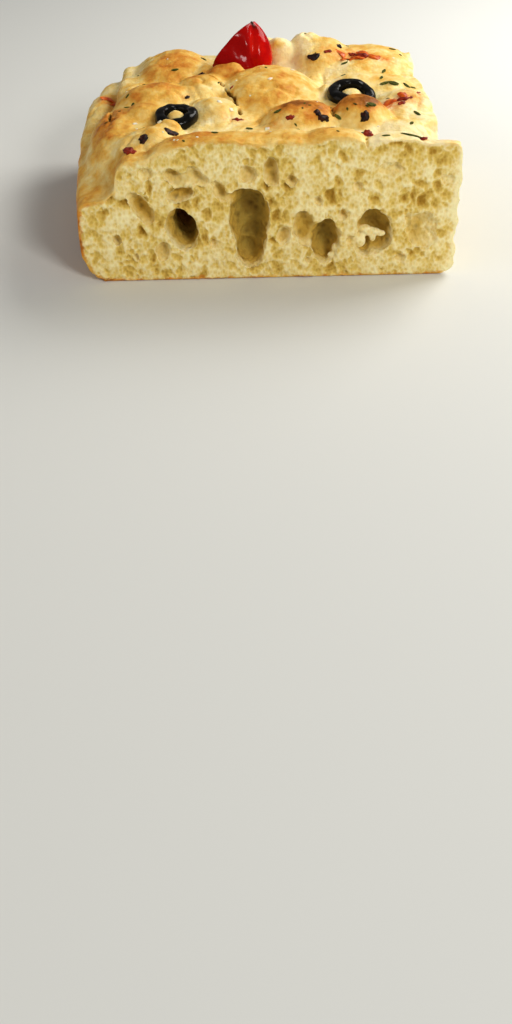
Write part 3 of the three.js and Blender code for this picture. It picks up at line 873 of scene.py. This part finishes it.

# %% The crust's colours
# How far it is baked, with its painted shade, broken up by the three coarser patterns, picks a colour
# from straw to chestnut.
browning_and_shading = add_node(dough_material, "Math", (freckles, 0.3, -0.8), operation="MULTIPLY_ADD")
browning_and_shading = add_node(dough_material, "Math", (blotches, 0.7, browning_and_shading), operation="MULTIPLY_ADD")
browning_and_shading = add_node(dough_material, "Math", (patches, 0.6, browning_and_shading), operation="MULTIPLY_ADD")
browning_and_shading = add_node(dough_material, "Math", (baked_and_shaded_here, browning_and_shading), operation="ADD")
CRUST_STOPS = [(0.0, "#F6E4B0"), (0.25, "#ECCF84"), (0.5, "#E0B052"), (0.76, "#CA822E"), (1.0, "#8E5214")]
crust_colour = add_node(dough_material, "ValToRGB", [browning_and_shading], CRUST_STOPS)
stain = add_node(dough_material, "Math", (freckles, 2.6, -0.6), operation="MULTIPLY_ADD")
stain = add_node(dough_material, "Math", (stained_here, stain), operation="MULTIPLY", use_clamp=True)
stained_crust = {0: stain, 6: crust_colour, 7: linear("#D9701E")}
crust_colour = add_node(dough_material, "Mix", stained_crust, data_type="RGBA").outputs[2]

# %% The crumb's colours
# Cell walls are cream, and the deeper a point lies in a cell the darker it is painted, to straw and
# brown: painted shade in the pits. In a bubble it is painted darker with the depth, as painted shade,
# with a few soft brown specks.
cell = add_node(dough_material, "Math", (patches, 0.5), operation="MULTIPLY")
cell = add_node(dough_material, "Math", (pores, -0.3, cell), operation="MULTIPLY_ADD")
# How deep a point lies in a cell darkens its colour: painted shade in the pits.
cell = add_node(dough_material, "Math", (cell_here, 0.58, cell), operation="MULTIPLY_ADD")
CRUMB_AND_PIT_SHADE_STOPS = [(0.0, "#FCEDB8"), (0.3, "#E3C468"), (0.6, "#B68E36"), (1.0, "#86661E")]
HOLLOW_SHADE_STOPS = [(0.1, "#DCC070"), (0.25, "#CBA64A"), (0.6, "#A68C40"), (1.0, "#74420A")]
crumb_colour = add_node(dough_material, "ValToRGB", [cell], CRUMB_AND_PIT_SHADE_STOPS)
hollow_shade_colour = add_node(dough_material, "ValToRGB", [hollow_here], HOLLOW_SHADE_STOPS)
fading = {"Value": specks, "From Min": 0.05, "From Max": 0.42, "To Min": 0.5, "To Max": 0.0}
speck = add_node(dough_material, "MapRange", fading)
specked_hollow = {0: speck, 6: hollow_shade_colour, 7: linear("#4A3210")}
hollow_shade_colour = add_node(dough_material, "Mix", specked_hollow, data_type="RGBA").outputs[2]
in_hollow = add_node(dough_material, "Math", (hollow_here, 5.0), operation="MULTIPLY", use_clamp=True)
crumb_with_hollows = {0: in_hollow, 6: crumb_colour, 7: hollow_shade_colour}
crumb_colour = add_node(dough_material, "Mix", crumb_with_hollows, data_type="RGBA").outputs[2]

# %% Crust over crumb, and each one's fine relief
on_crust = add_node(dough_material, "Math", (freckles, 0.5, -0.5), operation="MULTIPLY_ADD")
on_crust = add_node(
    dough_material, "Math", (crust_here, 1.5, on_crust), operation="MULTIPLY_ADD", use_clamp=True
)
on_crumb = add_node(dough_material, "Math", (1.0, on_crust), operation="SUBTRACT")
both = {0: on_crust, 6: crumb_colour, 7: crust_colour}
dough_colour = add_node(dough_material, "Mix", both, data_type="RGBA").outputs[2]
dough_roughness = add_node(dough_material, "Math", (freckles, 0.16, 0.72), operation="MULTIPLY_ADD")
dough_roughness = add_node(
    dough_material, "Math", (on_crust, -0.34, dough_roughness), operation="MULTIPLY_ADD"
)
crumb_relief = add_node(dough_material, "Math", (grain, 0.35), operation="MULTIPLY")
crumb_relief = add_node(dough_material, "Math", (pores, 0.7, crumb_relief), operation="MULTIPLY_ADD")
crumb_relief = add_node(dough_material, "Math", (on_crumb, crumb_relief), operation="MULTIPLY")
crust_relief = add_node(dough_material, "Math", (grain, 0.25), operation="MULTIPLY")
crust_relief = add_node(dough_material, "Math", (freckles, 0.8, crust_relief), operation="MULTIPLY_ADD")
height = add_node(
    dough_material, "Math", (on_crust, crust_relief, crumb_relief), operation="MULTIPLY_ADD"
)
relief = add_node(dough_material, "Bump", {"Height": height, "Strength": 0.9, "Distance": 0.5 * MM})

# %% The finished dough
dough_look = {
    "Base Color": dough_colour,
    "Roughness": dough_roughness,
    "Normal": relief,
    "IOR": 1.42,
    "Specular IOR Level": 0.16,
    "Subsurface Weight": 0.16,
    "Subsurface Radius": (0.9, 0.62, 0.3),
    "Subsurface Scale": 1.6 * MM,
}
set_inputs(dough_material, shader, dough_look)
bread.data.materials.clear()
bread.data.materials.append(dough_material)
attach(bread, "root")
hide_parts("focaccia_slice")

# %% [markdown]
# ## Olive rings
# A pitted olive cut across gives a ring with a rounded outer skin, two flat cut faces and a straight
# inner wall. The section is drawn once and spun round its axis. A smooth dent here and there keeps it
# from looking turned on a lathe.


# %% Spin and place a ring
def olive_ring(name, place, radius, thickness, tilt, squash, seed):
    """A ring by its middle, outer radius and thickness in millimetres, and its tilts in degrees."""
    half = thickness / 2
    inner = radius * 0.5
    section = [
        (inner + 0.1, -half),
        (radius * 0.84, -half),
        (radius * 0.97, -half * 0.55),
        (radius, 0),
        (radius * 0.97, half * 0.5),
        (radius * 0.86, half * 0.94),
        (radius * 0.72, half),
        (inner + 0.5, half * 0.96),
        (inner, half * 0.7),
        (inner - 0.15, 0),
    ]
    edges = [(k, (k + 1) % len(section)) for k in range(len(section))]
    mesh = bpy.data.meshes.new(name)
    mesh.from_pydata([(r * MM, 0, z * MM) for r, z in section], edges, [])
    ring = bpy.data.objects.new(name, mesh)
    bpy.context.collection.objects.link(ring)
    select_only(ring)
    bpy.ops.object.mode_set(mode="EDIT")
    bpy.ops.mesh.select_all(action="SELECT")
    bpy.ops.mesh.spin(steps=40, angle=math.tau, center=(0, 0, 0), axis=(0, 0, 1))
    bpy.ops.mesh.select_all(action="SELECT")
    bpy.ops.mesh.remove_doubles(threshold=0.01 * MM)
    bpy.ops.mesh.normals_make_consistent(inside=False)
    bpy.ops.object.mode_set(mode="OBJECT")
    finish_with(ring, "SUBSURF", levels=2, render_levels=2)
    points = points_of(ring)
    angle = np.arctan2(points[:, 1], points[:, 0])
    points[:, 0] *= 1 + 0.03 * np.sin(2 * angle + seed) + 0.015 * np.sin(5 * angle + seed)
    points[:, 1] *= squash
    points[:, 2] += 0.35 * np.sin(2 * angle + 2 * seed) + 0.12 * np.sin(7 * angle)
    ripple = [noise_value(Vector(point) / 2.2 + Vector((seed, 0, 0))) for point in points]
    points += normals_of(ring) * (0.1 * np.array(ripple))[:, None]
    turn = Euler([math.radians(degrees) for degrees in tilt]).to_matrix()
    move_points(ring, points @ np.array(turn).T + np.array(place))
    bpy.ops.object.shade_smooth()
    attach(ring, "root")
    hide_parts(name)
    return ring


olives = [
    olive_ring("olive_ring_front", (-26.1, -15.3, 41.4), 6.8, 4.2, (4, -2, 0), 1.08, 1.0),
    olive_ring("olive_ring_back", (30.4, 0.8, 41.4), 8.0, 4.4, (8, 5, 0), 1.0, 2.6),
]
for ring in olives:
    print(ring.name, triangle_count(ring), "triangles")

# %% Olive flesh
# Ripe olives are dyed almost black by their own juice. The skin is glossy with oil, and the cut faces are
# a little softer and browner, so the roughness wanders and the colour turns to brown in spots.
olive_material, shader, place = new_material("black_olive_flesh")
mottle = add_node(olive_material, "TexNoise", lumps_of(place, 1.8, 4))
ripples = add_node(olive_material, "TexNoise", lumps_of(place, 0.9))
OLIVE_STOPS = [(0.3, "#090806"), (0.6, "#12100B"), (0.85, "#261D12")]
olive_relief = {"Height": ripples, "Strength": 0.3, "Distance": 0.15 * MM}
olive_look = {
    "Base Color": add_node(olive_material, "ValToRGB", [mottle], OLIVE_STOPS),
    "Roughness": add_node(olive_material, "Math", (mottle, 0.2, 0.08), operation="MULTIPLY_ADD"),
    "Specular IOR Level": 0.14,
    "Normal": add_node(olive_material, "Bump", olive_relief),
}
set_inputs(olive_material, shader, olive_look)
for ring in olives:
    ring.data.materials.append(olive_material)

# %% [markdown]
# ## Roasted tomato
# Half a small tomato, roasted until it shrank: the skin gathered in folds that run from the burnt tip to
# the blossom end, and the cut side sank behind its rim. It starts as a sphere whose upper half is pushed
# down into a hollow.

# %% The tomato's sizes
TOMATO_PLACE = np.array([-6.9, 30, 46.6])
TOMATO_RADIUS = (11.6, 10.2)
TOMATO_DOME = 14.0
HOLLOW_DEPTH = 0.16  # of the dome
RIM_CURL = 0.155
TIP_ANGLE = -0.64
FOLD_SLANT = 1.26
TURN_X, TURN_Y = -32, -46
print(f"tomato half: {2 * TOMATO_RADIUS[0]} mm across")

# %% Squash a sphere, and sink its cut side behind the rim
bpy.ops.mesh.primitive_uv_sphere_add(segments=160, ring_count=90, radius=1)
tomato = bpy.context.object
tomato.name = tomato.data.name = "tomato"
points = points_of(tomato) * MM
across, along, up = points.T
angle = np.arctan2(along, across)
rho = np.hypot(across, along)
wrinkle = 0.035 * np.sin(5 * angle + 0.6) + 0.025 * np.sin(9 * angle + 2)
peak = 0.13 * np.exp(-(((angle + 0.46) / 0.26) ** 2)) - 0.05 * np.exp(-(((angle - 0.1) / 0.4) ** 2))
peak -= 0.05 * np.exp(-(((angle + 1.6) / 0.5) ** 2))
sunken = -HOLLOW_DEPTH * (1 - rho**2) + 0.1 * np.exp(-(((rho - 0.86) / 0.12) ** 2))
curl = RIM_CURL * np.maximum(-np.sin(angle), 0) * np.where(up > 0, rho**2, rho * (1 + up))
spread = 1 + (wrinkle + peak) * rho
skin_side = smooth_step(0.05, -0.15, up)
shaped = np.c_[
    across * spread * TOMATO_RADIUS[0],
    along * spread * TOMATO_RADIUS[1],
    (np.where(up > 0, sunken, up) + curl) * TOMATO_DOME,
]
print(f"{np.mean(skin_side > 0.5):.0%} of the sphere is skin, and the rest is the cut side")


# %% Folds in the skin
def fold(at_angle, width, depth, slant=0.0):
    """A furrow down the skin from the rim, deepest near the rim, which turns away by the slant."""
    middle = at_angle + slant * np.minimum(up, 0)
    away = np.arctan2(np.sin(angle - middle), np.cos(angle - middle))
    return -depth * np.exp(-((away / width) ** 2)) * smooth_step(0.05, 0.9, rho)


folds = fold(TIP_ANGLE, 0.18, 1.1, FOLD_SLANT)
for at_angle, width, depth in ((-1.5, 0.22, 0.7), (-2.1, 0.16, 0.6), (0.25, 0.12, 0.8)):
    folds += fold(at_angle, width, depth)
fine = [Vector((3.2 * math.cos(a), 3.2 * math.sin(a), 0.7 * u)) for a, u in zip(angle, up)]
fine = np.array([noise_value(point) for point in fine])
rough = np.array([fractal(Vector(point) / 5.0, 0.9, 2.0, 3) for point in shaped])
outward = np.c_[across, along, np.minimum(up, 0)]
outward /= np.maximum(np.linalg.norm(outward, axis=1), 0.05)[:, None]
shaped += outward * ((folds + 0.04 * fine) * skin_side + 0.16 * rough)[:, None]
print(f"deepest fold: {-folds.min():.1f} mm")

# %% Set it down, and keep what its colours follow
turn = Matrix.Rotation(math.radians(TURN_X), 3, "X") @ Matrix.Rotation(math.radians(TURN_Y), 3, "Y")
move_points(tomato, shaped @ np.array(turn).T + TOMATO_PLACE)
past_fold = angle - TIP_ANGLE - FOLD_SLANT * np.minimum(up, 0)
store_values(tomato, "pulp", (1 - skin_side) * smooth_step(0.97, 0.86, rho))
store_values(tomato, "burnt", np.exp(-(((angle - TIP_ANGLE) / 0.07) ** 2)) * smooth_step(0.98, 1.0, rho))
store_values(tomato, "shaded", smooth_step(0.02, -0.2, past_fold) * smooth_step(0.15, 0.7, rho))
select_only(tomato)
bpy.ops.object.shade_smooth()
print("tomato:", triangle_count(tomato), "triangles")

# %% Burnt tip
bpy.ops.mesh.primitive_cone_add(vertices=9, radius1=0.8 * MM, radius2=0.3 * MM, depth=1.3 * MM)
tip = bpy.context.object
tip.name = tip.data.name = "tomato_tip"
at_tip = np.argmin(np.abs(angle - TIP_ANGLE) + 3 * np.abs(rho - 1))
tip_place = Vector(points_of(tomato)[at_tip]) + Vector((-0.2, 0, 0.1))
finish_with(tip, "SUBSURF", levels=2, render_levels=2)
tip.data.transform(Matrix.Translation(tip_place * MM) @ Euler((0.3, -0.35, 0)).to_matrix().to_4x4())
print("tip:", triangle_count(tip), "triangles")

# %% Seeds in the hollow
SEED_COUNT = 26
SEED_HALF_LENGTHS = (1.0, 0.7, 0.4)
draw = random.Random(5)
seeds = []
for _ in range(SEED_COUNT):
    away, about = math.sqrt(draw.random()) * 0.72, draw.uniform(0, math.tau)
    level = -HOLLOW_DEPTH * (1 - away**2) + RIM_CURL * max(-math.sin(about), 0) * away**2
    x, y = math.cos(about) * away * TOMATO_RADIUS[0], math.sin(about) * away * TOMATO_RADIUS[1]
    spot = Vector((x, y, level * TOMATO_DOME + 0.15))
    seed = add_egg((0, 0, 0), SEED_HALF_LENGTHS, draw.uniform(0, 180), segments=10, rings=6)
    settle(seed)
    seed.data.transform(Matrix.Translation((turn @ spot + Vector(TOMATO_PLACE)) * MM) @ turn.to_4x4())
    seeds.append(seed)
seeds = join(seeds, "tomato_seeds")
print("seeds:", triangle_count(seeds), "triangles")

# %% Tomato skin and pulp
# Roasted skin is a thin clear red film over dark flesh, wet with oil, which gives sharp highlights on the
# folds and a glow of orange where it is thin. The pulp behind is rougher and a little paler.
tomato_material, shader, place = new_material("roasted_tomato_skin")
blush, flesh, ripples = [
    add_node(tomato_material, "TexNoise", lumps_of(place, size, detail))
    for size, detail in ((6, 3), (1.5, 3), (3.0, 2))
]
SKIN_STOPS = [(0.25, "#900301"), (0.5, "#B60602"), (0.75, "#CC1A08")]
PULP_STOPS = [(0.3, "#8E1207"), (0.7, "#C8401C")]
skin_colour = add_node(tomato_material, "ValToRGB", [blush], SKIN_STOPS)
pulp_colour = add_node(tomato_material, "ValToRGB", [flesh], PULP_STOPS)
for name, over in (("shaded", linear("#960603")), ("pulp", pulp_colour), ("burnt", linear("#2A120A"))):
    share = add_node(tomato_material, "Attribute", attribute_name=name).outputs["Fac"]
    skin_colour = add_node(
        tomato_material, "Mix", {0: share, 6: skin_colour, 7: over}, data_type="RGBA"
    ).outputs[2]
skin_relief = {"Height": ripples, "Strength": 0.08, "Distance": 0.25 * MM}
skin_look = {
    "Base Color": skin_colour,
    "Roughness": 0.12,
    "Specular IOR Level": 0.14,
    "Subsurface Weight": 0.06,
    "Subsurface Radius": (1.0, 0.15, 0.08),
    "Subsurface Scale": 2 * MM,
    "Normal": add_node(tomato_material, "Bump", skin_relief),
}
set_inputs(tomato_material, shader, skin_look)
tomato.data.materials.append(tomato_material)
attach(tomato, "root")
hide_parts("tomato_half")

# %% Charred tip and seeds
# The tip charred to a dry dark brown. The seeds are golden and wet.
for piece, name, size, stops, roughness in (
    (tip, "burnt_tomato_tip", 0.8, [(0.3, "#1A0D08"), (0.7, "#4A2313")], 0.7),
    (seeds, "tomato_seed", 1.2, [(0.3, "#D9A24E"), (0.7, "#EBC67C")], 0.3),
):
    material, shader, place = new_material(name)
    mottle = add_node(material, "TexNoise", lumps_of(place, size))
    colour = add_node(material, "ValToRGB", [mottle], stops)
    set_inputs(material, shader, {"Base Color": colour, "Roughness": roughness})
    piece.data.materials.append(material)
    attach(piece, "root")

# %% [markdown]
# ## Seasoning
# Dried chilli, herbs, shreds of roasted pepper and coarse salt were strewn before baking, so each bit
# lies on the crust where it fell and follows its slope. The places of the larger bits are given, and a
# seeded scatter adds the crumbs.

# %% Set a bit on the crust
bread_tree = search_tree(bread)


def lay_on_crust(bit, x, y, turn, sink):
    """Sets a bit on the crust at x, y, turned by some degrees and sunk in by some millimetres."""
    spot, normal, _, _ = bread_tree.ray_cast(Vector((x, y, OVERHEAD)) * MM, Vector((0, 0, -1)))
    tilt = Vector((0, 0, 1)).rotation_difference(normal).to_matrix().to_4x4()
    lift = Matrix.Translation(spot - normal * sink * MM)
    bit.data.transform(lift @ tilt @ Matrix.Rotation(math.radians(turn), 4, "Z"))


def bit_of(kind, length, width, height, rng):
    """One flake, leaf, shred or grain at the origin, metres wide until the last line gives it its size."""
    if kind == "grain":
        bpy.ops.mesh.primitive_cube_add(size=2)
        bit = bpy.context.object
        bevel_edges(bit, lambda p: True, 350, 2)
    else:
        bpy.ops.mesh.primitive_ico_sphere_add(subdivisions=3, radius=1)
        bit = bpy.context.object
    points = points_of(bit) * MM
    x, y, z = points.T.copy()
    offset = Vector((rng.uniform(-50, 50), rng.uniform(-50, 50), 0))
    dents = np.array([noise_value(Vector(point) * 1.5 + offset) for point in points])
    nicks = np.array([noise_value(Vector(point) * 3.6 + offset) for point in points])
    curl = rng.uniform(0.1, 0.5)
    if kind == "flake":
        points *= (1 + 0.5 * dents + 0.3 * nicks)[:, None]
        points[:, 2] += curl * (x**2 - 0.3) + 0.3 * dents
    elif kind == "leaf":
        points[:, 1] *= (1 + 0.3 * nicks) * np.sqrt(np.clip(1 - 0.8 * x**2, 0.05, 1))
        points[:, 1] += 0.35 * curl * x**2
        points[:, 2] += 1.2 * curl * x**2 - 0.5 * np.exp(-((y / 0.22) ** 2)) * np.sign(z)
    elif kind == "shred":
        points[:, 1] *= 1 + 0.7 * dents
        points[:, 1] += 0.5 * np.sin(2.4 * x + curl * 9)
        points[:, 2] += 0.8 * np.sin(3.1 * x + curl * 5) * (1 - 0.4 * np.abs(x))
    else:
        points *= (1 + 0.35 * dents)[:, None]
    move_points(bit, points * (length / 2, width / 2, height / 2))
    return bit


def strew(name, kind, size, places, sink, seed):
    """All the bits of one kind as one piece."""
    rng = random.Random(seed)
    bits = []
    for x, y, turn, *larger in places:
        grow = rng.uniform(0.9, 1.1) * (larger[0] if larger else 1)
        length, width, height = (value * grow * rng.uniform(0.9, 1.1) for value in size)
        bit = bit_of(kind, length, width, height, rng)
        lay_on_crust(bit, x, y, turn, sink)
        bits.append(bit)
    piece = join(bits, name)
    select_only(piece)
    bpy.ops.object.shade_smooth()
    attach(piece, "root")
    print(name, "has", len(places), "bits and", triangle_count(piece), "triangles")
    return piece


# x, y and radius of the tomato and the olive rings
TAKEN = [(-6.4, 30, 15), (-26.1, -15.3, 7.5), (30.4, 0.8, 8.6)]


def scattered(count, seed):
    """Random places on the top, clear of the tomato and the olives."""
    rng = random.Random(seed)
    places = []
    while len(places) < count:
        x, y, turn = rng.uniform(-50, 53), rng.uniform(-43, 43), rng.uniform(0, 180)
        if all(math.hypot(x - a, y - b) > r for a, b, r in TAKEN):
            places.append((x, y, turn))
    return places


# %% Where the larger bits lie
# x, y, turn in degrees and, for some, how much larger
DARK_FLAKES = [
    (-19.5, 18.5, 15, 1.15), (-23, 1.5, 40, 0.6), (-35.5, -32.5, 70), (-27.5, -28, 5, 1.25),
    (29.5, 36, 80, 0.9), (20, 28.5, -5, 1.15), (17.6, -22, -60, 0.9), (19.3, -23.2, 20),
    (21.5, -25.5, -20, 1.1), (23.6, -26, 30, 0.6), (32, -23.5, 60, 1.15),
]
RED_FLAKES = [
    (25, 30.5, 10), (-7, -15.5, -10, 1.3), (47, -42.5, 20), (51.5, -1.5, 40), (48.5, -6.5, 70),
    (45, -11, 30), (-39.5, -37, 105, 2.0), (32.5, -29, -70, 1.5), (9, -23.5, 10), (-8.5, 4, 30, 0.7),
    (37, 29.4, 10, 1.7), (33.5, 31.4, -15, 1.3), (45.8, -8, 25, 1.6),
]
SHREDS = [
    (29.5, 31, -60), (34.5, 28, 0, 1.2), (40.5, 29, 10, 1.1), (31.5, 28.5, 40), (37.5, 31, -20),
    (43, -8.5, 15, 1.3), (46.5, -6.5, -20), (-50.5, 19.5, 0, 1.1), (-48.5, 18.5, 40, 0.8),
]
HERBS = [
    (-14, -38.5, -5), (-3.5, -23, -40), (36, -42.5, -10), (45, 7.5, 0, 1.4), (49.5, 8.5, -30, 1.2),
    (42, 7.8, 12, 1.3), (51.8, 8.8, 20), (43.5, 21, 60), (41.5, 12, 70), (30.5, 25.5, 20), (29.5, 19, 40),
    (5.5, -18.5, 20), (48.5, 37, 10), (46, -26.5, 60), (34.5, -19, 30, 1.6), (-42.5, 3, 50), (-42, -4, 10),
    (-40.5, -2, 80), (-27.5, 21, 0), (-18, 35, 20), (24, -20.5, -50), (49.5, -15, -50),
]
NEEDLE = [(43.5, -42, -18)]
SALT = [
    (2, -24, 0), (-12.5, -9.5, 30), (-39, -17, 10), (4, 3, 50), (-31, -22.5, 20), (12, 16, 0),
    (-9, -12, 40),
]

# %% Strew them
# name, kind, size in millimetres, places, how far each sinks in, and seed
dark_flakes = strew("dark_chilli_flakes", "flake", (3.5, 2.5, 1.4), DARK_FLAKES, 0.1, 1)
red_flakes = strew("red_chilli_flakes", "flake", (2.4, 1.6, 0.9), RED_FLAKES, 0.1, 2)
shreds = strew("pepper_shreds", "shred", (5.2, 2.5, 0.6), SHREDS, 0.0, 3)
herbs = strew("dried_herbs", "leaf", (2.6, 1.1, 0.6), HERBS, 0.0, 4)
needle = strew("herb_needle", "leaf", (6.4, 0.9, 0.7), NEEDLE, 0.0, 5)
herb_crumbs = strew("herb_crumbs", "leaf", (1.3, 0.6, 0.4), scattered(34, 6), 0.0, 6)
coarse_salt = strew("coarse_salt", "grain", (1.5, 1.3, 1.1), SALT, 0.25, 7)
fine_salt = strew("fine_salt", "grain", (0.65, 0.55, 0.5), scattered(36, 8), 0.15, 8)

# %% Flakes, leaves, shreds and salt
# Toasted chilli is almost black with a dark red edge and a waxy shine. Herbs dried to a dull olive green.
# Pepper shreds are orange and let light through. Salt is clear, and milky where its faces are scratched.
TOASTED_STOPS = [(0.3, "#100706"), (0.52, "#220D08"), (0.76, "#58200F")]
CHILLI_STOPS = [(0.3, "#5A1408"), (0.55, "#8A260E"), (0.8, "#B84318")]
PEPPER_STOPS = [(0.3, "#9A340A"), (0.52, "#CC5C10"), (0.8, "#EA8C2E")]
HERB_STOPS = [(0.3, "#30340F"), (0.6, "#565A1E"), (0.8, "#7A7636")]
SALT_STOPS = [(0.3, "#E4D6B4"), (0.7, "#F6EDD6")]
# pieces, material, colours, width of its lumps in millimetres, roughness, glow, coat
SEASONING = [
    ([dark_flakes], "toasted_chilli", TOASTED_STOPS, 1.2, 0.5, 0, 0),
    ([red_flakes], "red_chilli", CHILLI_STOPS, 1.2, 0.45, 0, 0),
    ([shreds], "roasted_pepper", PEPPER_STOPS, 2.0, 0.35, 0.2, 0.05),
    ([herbs, needle, herb_crumbs], "dried_herb_leaf", HERB_STOPS, 1.0, 0.85, 0, 0),
    ([coarse_salt, fine_salt], "salt_crystal", SALT_STOPS, 0.8, 0.35, 0.3, 0),
]
for pieces, name, stops, size, roughness, glow, coat in SEASONING:
    material, shader, place = new_material(name)
    mottle = add_node(material, "TexNoise", lumps_of(place, size))
    ripples = add_node(material, "TexNoise", lumps_of(place, 0.4))
    relief = {"Height": ripples, "Strength": 0.5, "Distance": 0.15 * MM}
    look = {
        "Base Color": add_node(material, "ValToRGB", [mottle], stops),
        "Roughness": roughness,
        "Specular IOR Level": 0.2,
        "Subsurface Weight": glow,
        "Subsurface Scale": 1 * MM,
        "Coat Weight": coat,
        "Normal": add_node(material, "Bump", relief),
    }
    set_inputs(material, shader, look)
    for piece in pieces:
        piece.data.materials.append(material)
print(len(SEASONING), "materials for the seasoning")

# %% [markdown]
# ## Floor, light and camera
# A pale floor, soft light from the right and behind as from a window, a weaker fill from the front, and a
# warm bounce from the left. The tone setting brightens the lights a little and deepens the shadows, as the
# photograph's does. The camera stands where the photograph's did, and a shift of the film keeps the slice
# high in the tall picture.

# %% Floor
# Matt paper spreads all the light that it throws back, so the slice stands on soft shadows only.
bpy.ops.mesh.primitive_plane_add(size=4, location=(0, 0, -0.2 * MM))
floor = bpy.context.object
floor.name = "floor"
floor_material, shader, _ = new_material("pale_paper")
set_inputs(floor_material, shader, {"Base Color": linear("#D8D8D3"), "Roughness": 0.9})
floor.data.materials.append(floor_material)


# %% Lights
def add_softbox(name, place, size, power, colour):
    """A square light that faces the middle of the slice."""
    bpy.ops.object.light_add(type="AREA", location=place)
    lamp = bpy.context.object
    lamp.name = name
    lamp.data.size = size
    lamp.data.energy = power
    lamp.data.color = colour
    lamp.visible_camera = False
    lamp.rotation_euler = (Vector((0, 0, 0.02)) - Vector(place)).to_track_quat("-Z", "Y").to_euler()
    print(f"{name}: {power} W, {size} m wide")


add_softbox("window", (0.3, 0.17, 0.31), 0.27, 1.9, (1.0, 0.98, 0.94))
add_softbox("front_fill", (0.48, -0.75, 0.6), 0.26, 4.95, (1.0, 0.99, 0.96))
add_softbox("left_bounce", (-0.7, -0.3, 0.35), 0.6, 1.5, (1.0, 0.93, 0.82))

# %% Soft light from all round, and the tone
world = bpy.data.worlds.new("studio")
world.use_nodes = True
background = world.node_tree.nodes["Background"]
background.inputs["Color"].default_value = linear("#F4F6FA")
background.inputs["Strength"].default_value = 0.25
bpy.context.scene.world = world
tone = bpy.context.scene.view_settings
tone.view_transform = "Standard"
tone.exposure = 0.08
tone.gamma = 0.92
print("tone:", tone.view_transform, round(tone.exposure, 2), round(tone.gamma, 2))

# %% Camera
CAMERA_PLACE = (-10.4, -352.7, 179.8)
LOOK_DOWN, LOOK_RIGHT, TILT = 31.51, 1.46, -0.59  # in degrees
FILM_WIDTH, LENS, FILM_SHIFT = 36, 40.44, -0.205
bpy.ops.object.camera_add()
camera = bpy.context.object
camera.matrix_world = (
    Matrix.Translation(Vector(CAMERA_PLACE) * MM)
    @ Matrix.Rotation(math.radians(-LOOK_RIGHT), 4, "Z")
    @ Matrix.Rotation(math.radians(90 - LOOK_DOWN), 4, "X")
    @ Matrix.Rotation(math.radians(TILT), 4, "Z")
)
camera.data.sensor_width = FILM_WIDTH
camera.data.lens = LENS
camera.data.shift_y = FILM_SHIFT
camera.data.clip_start = 0.01
bpy.context.scene.camera = camera
print("camera:", CAMERA_PLACE, "mm, lens", LENS, "mm")
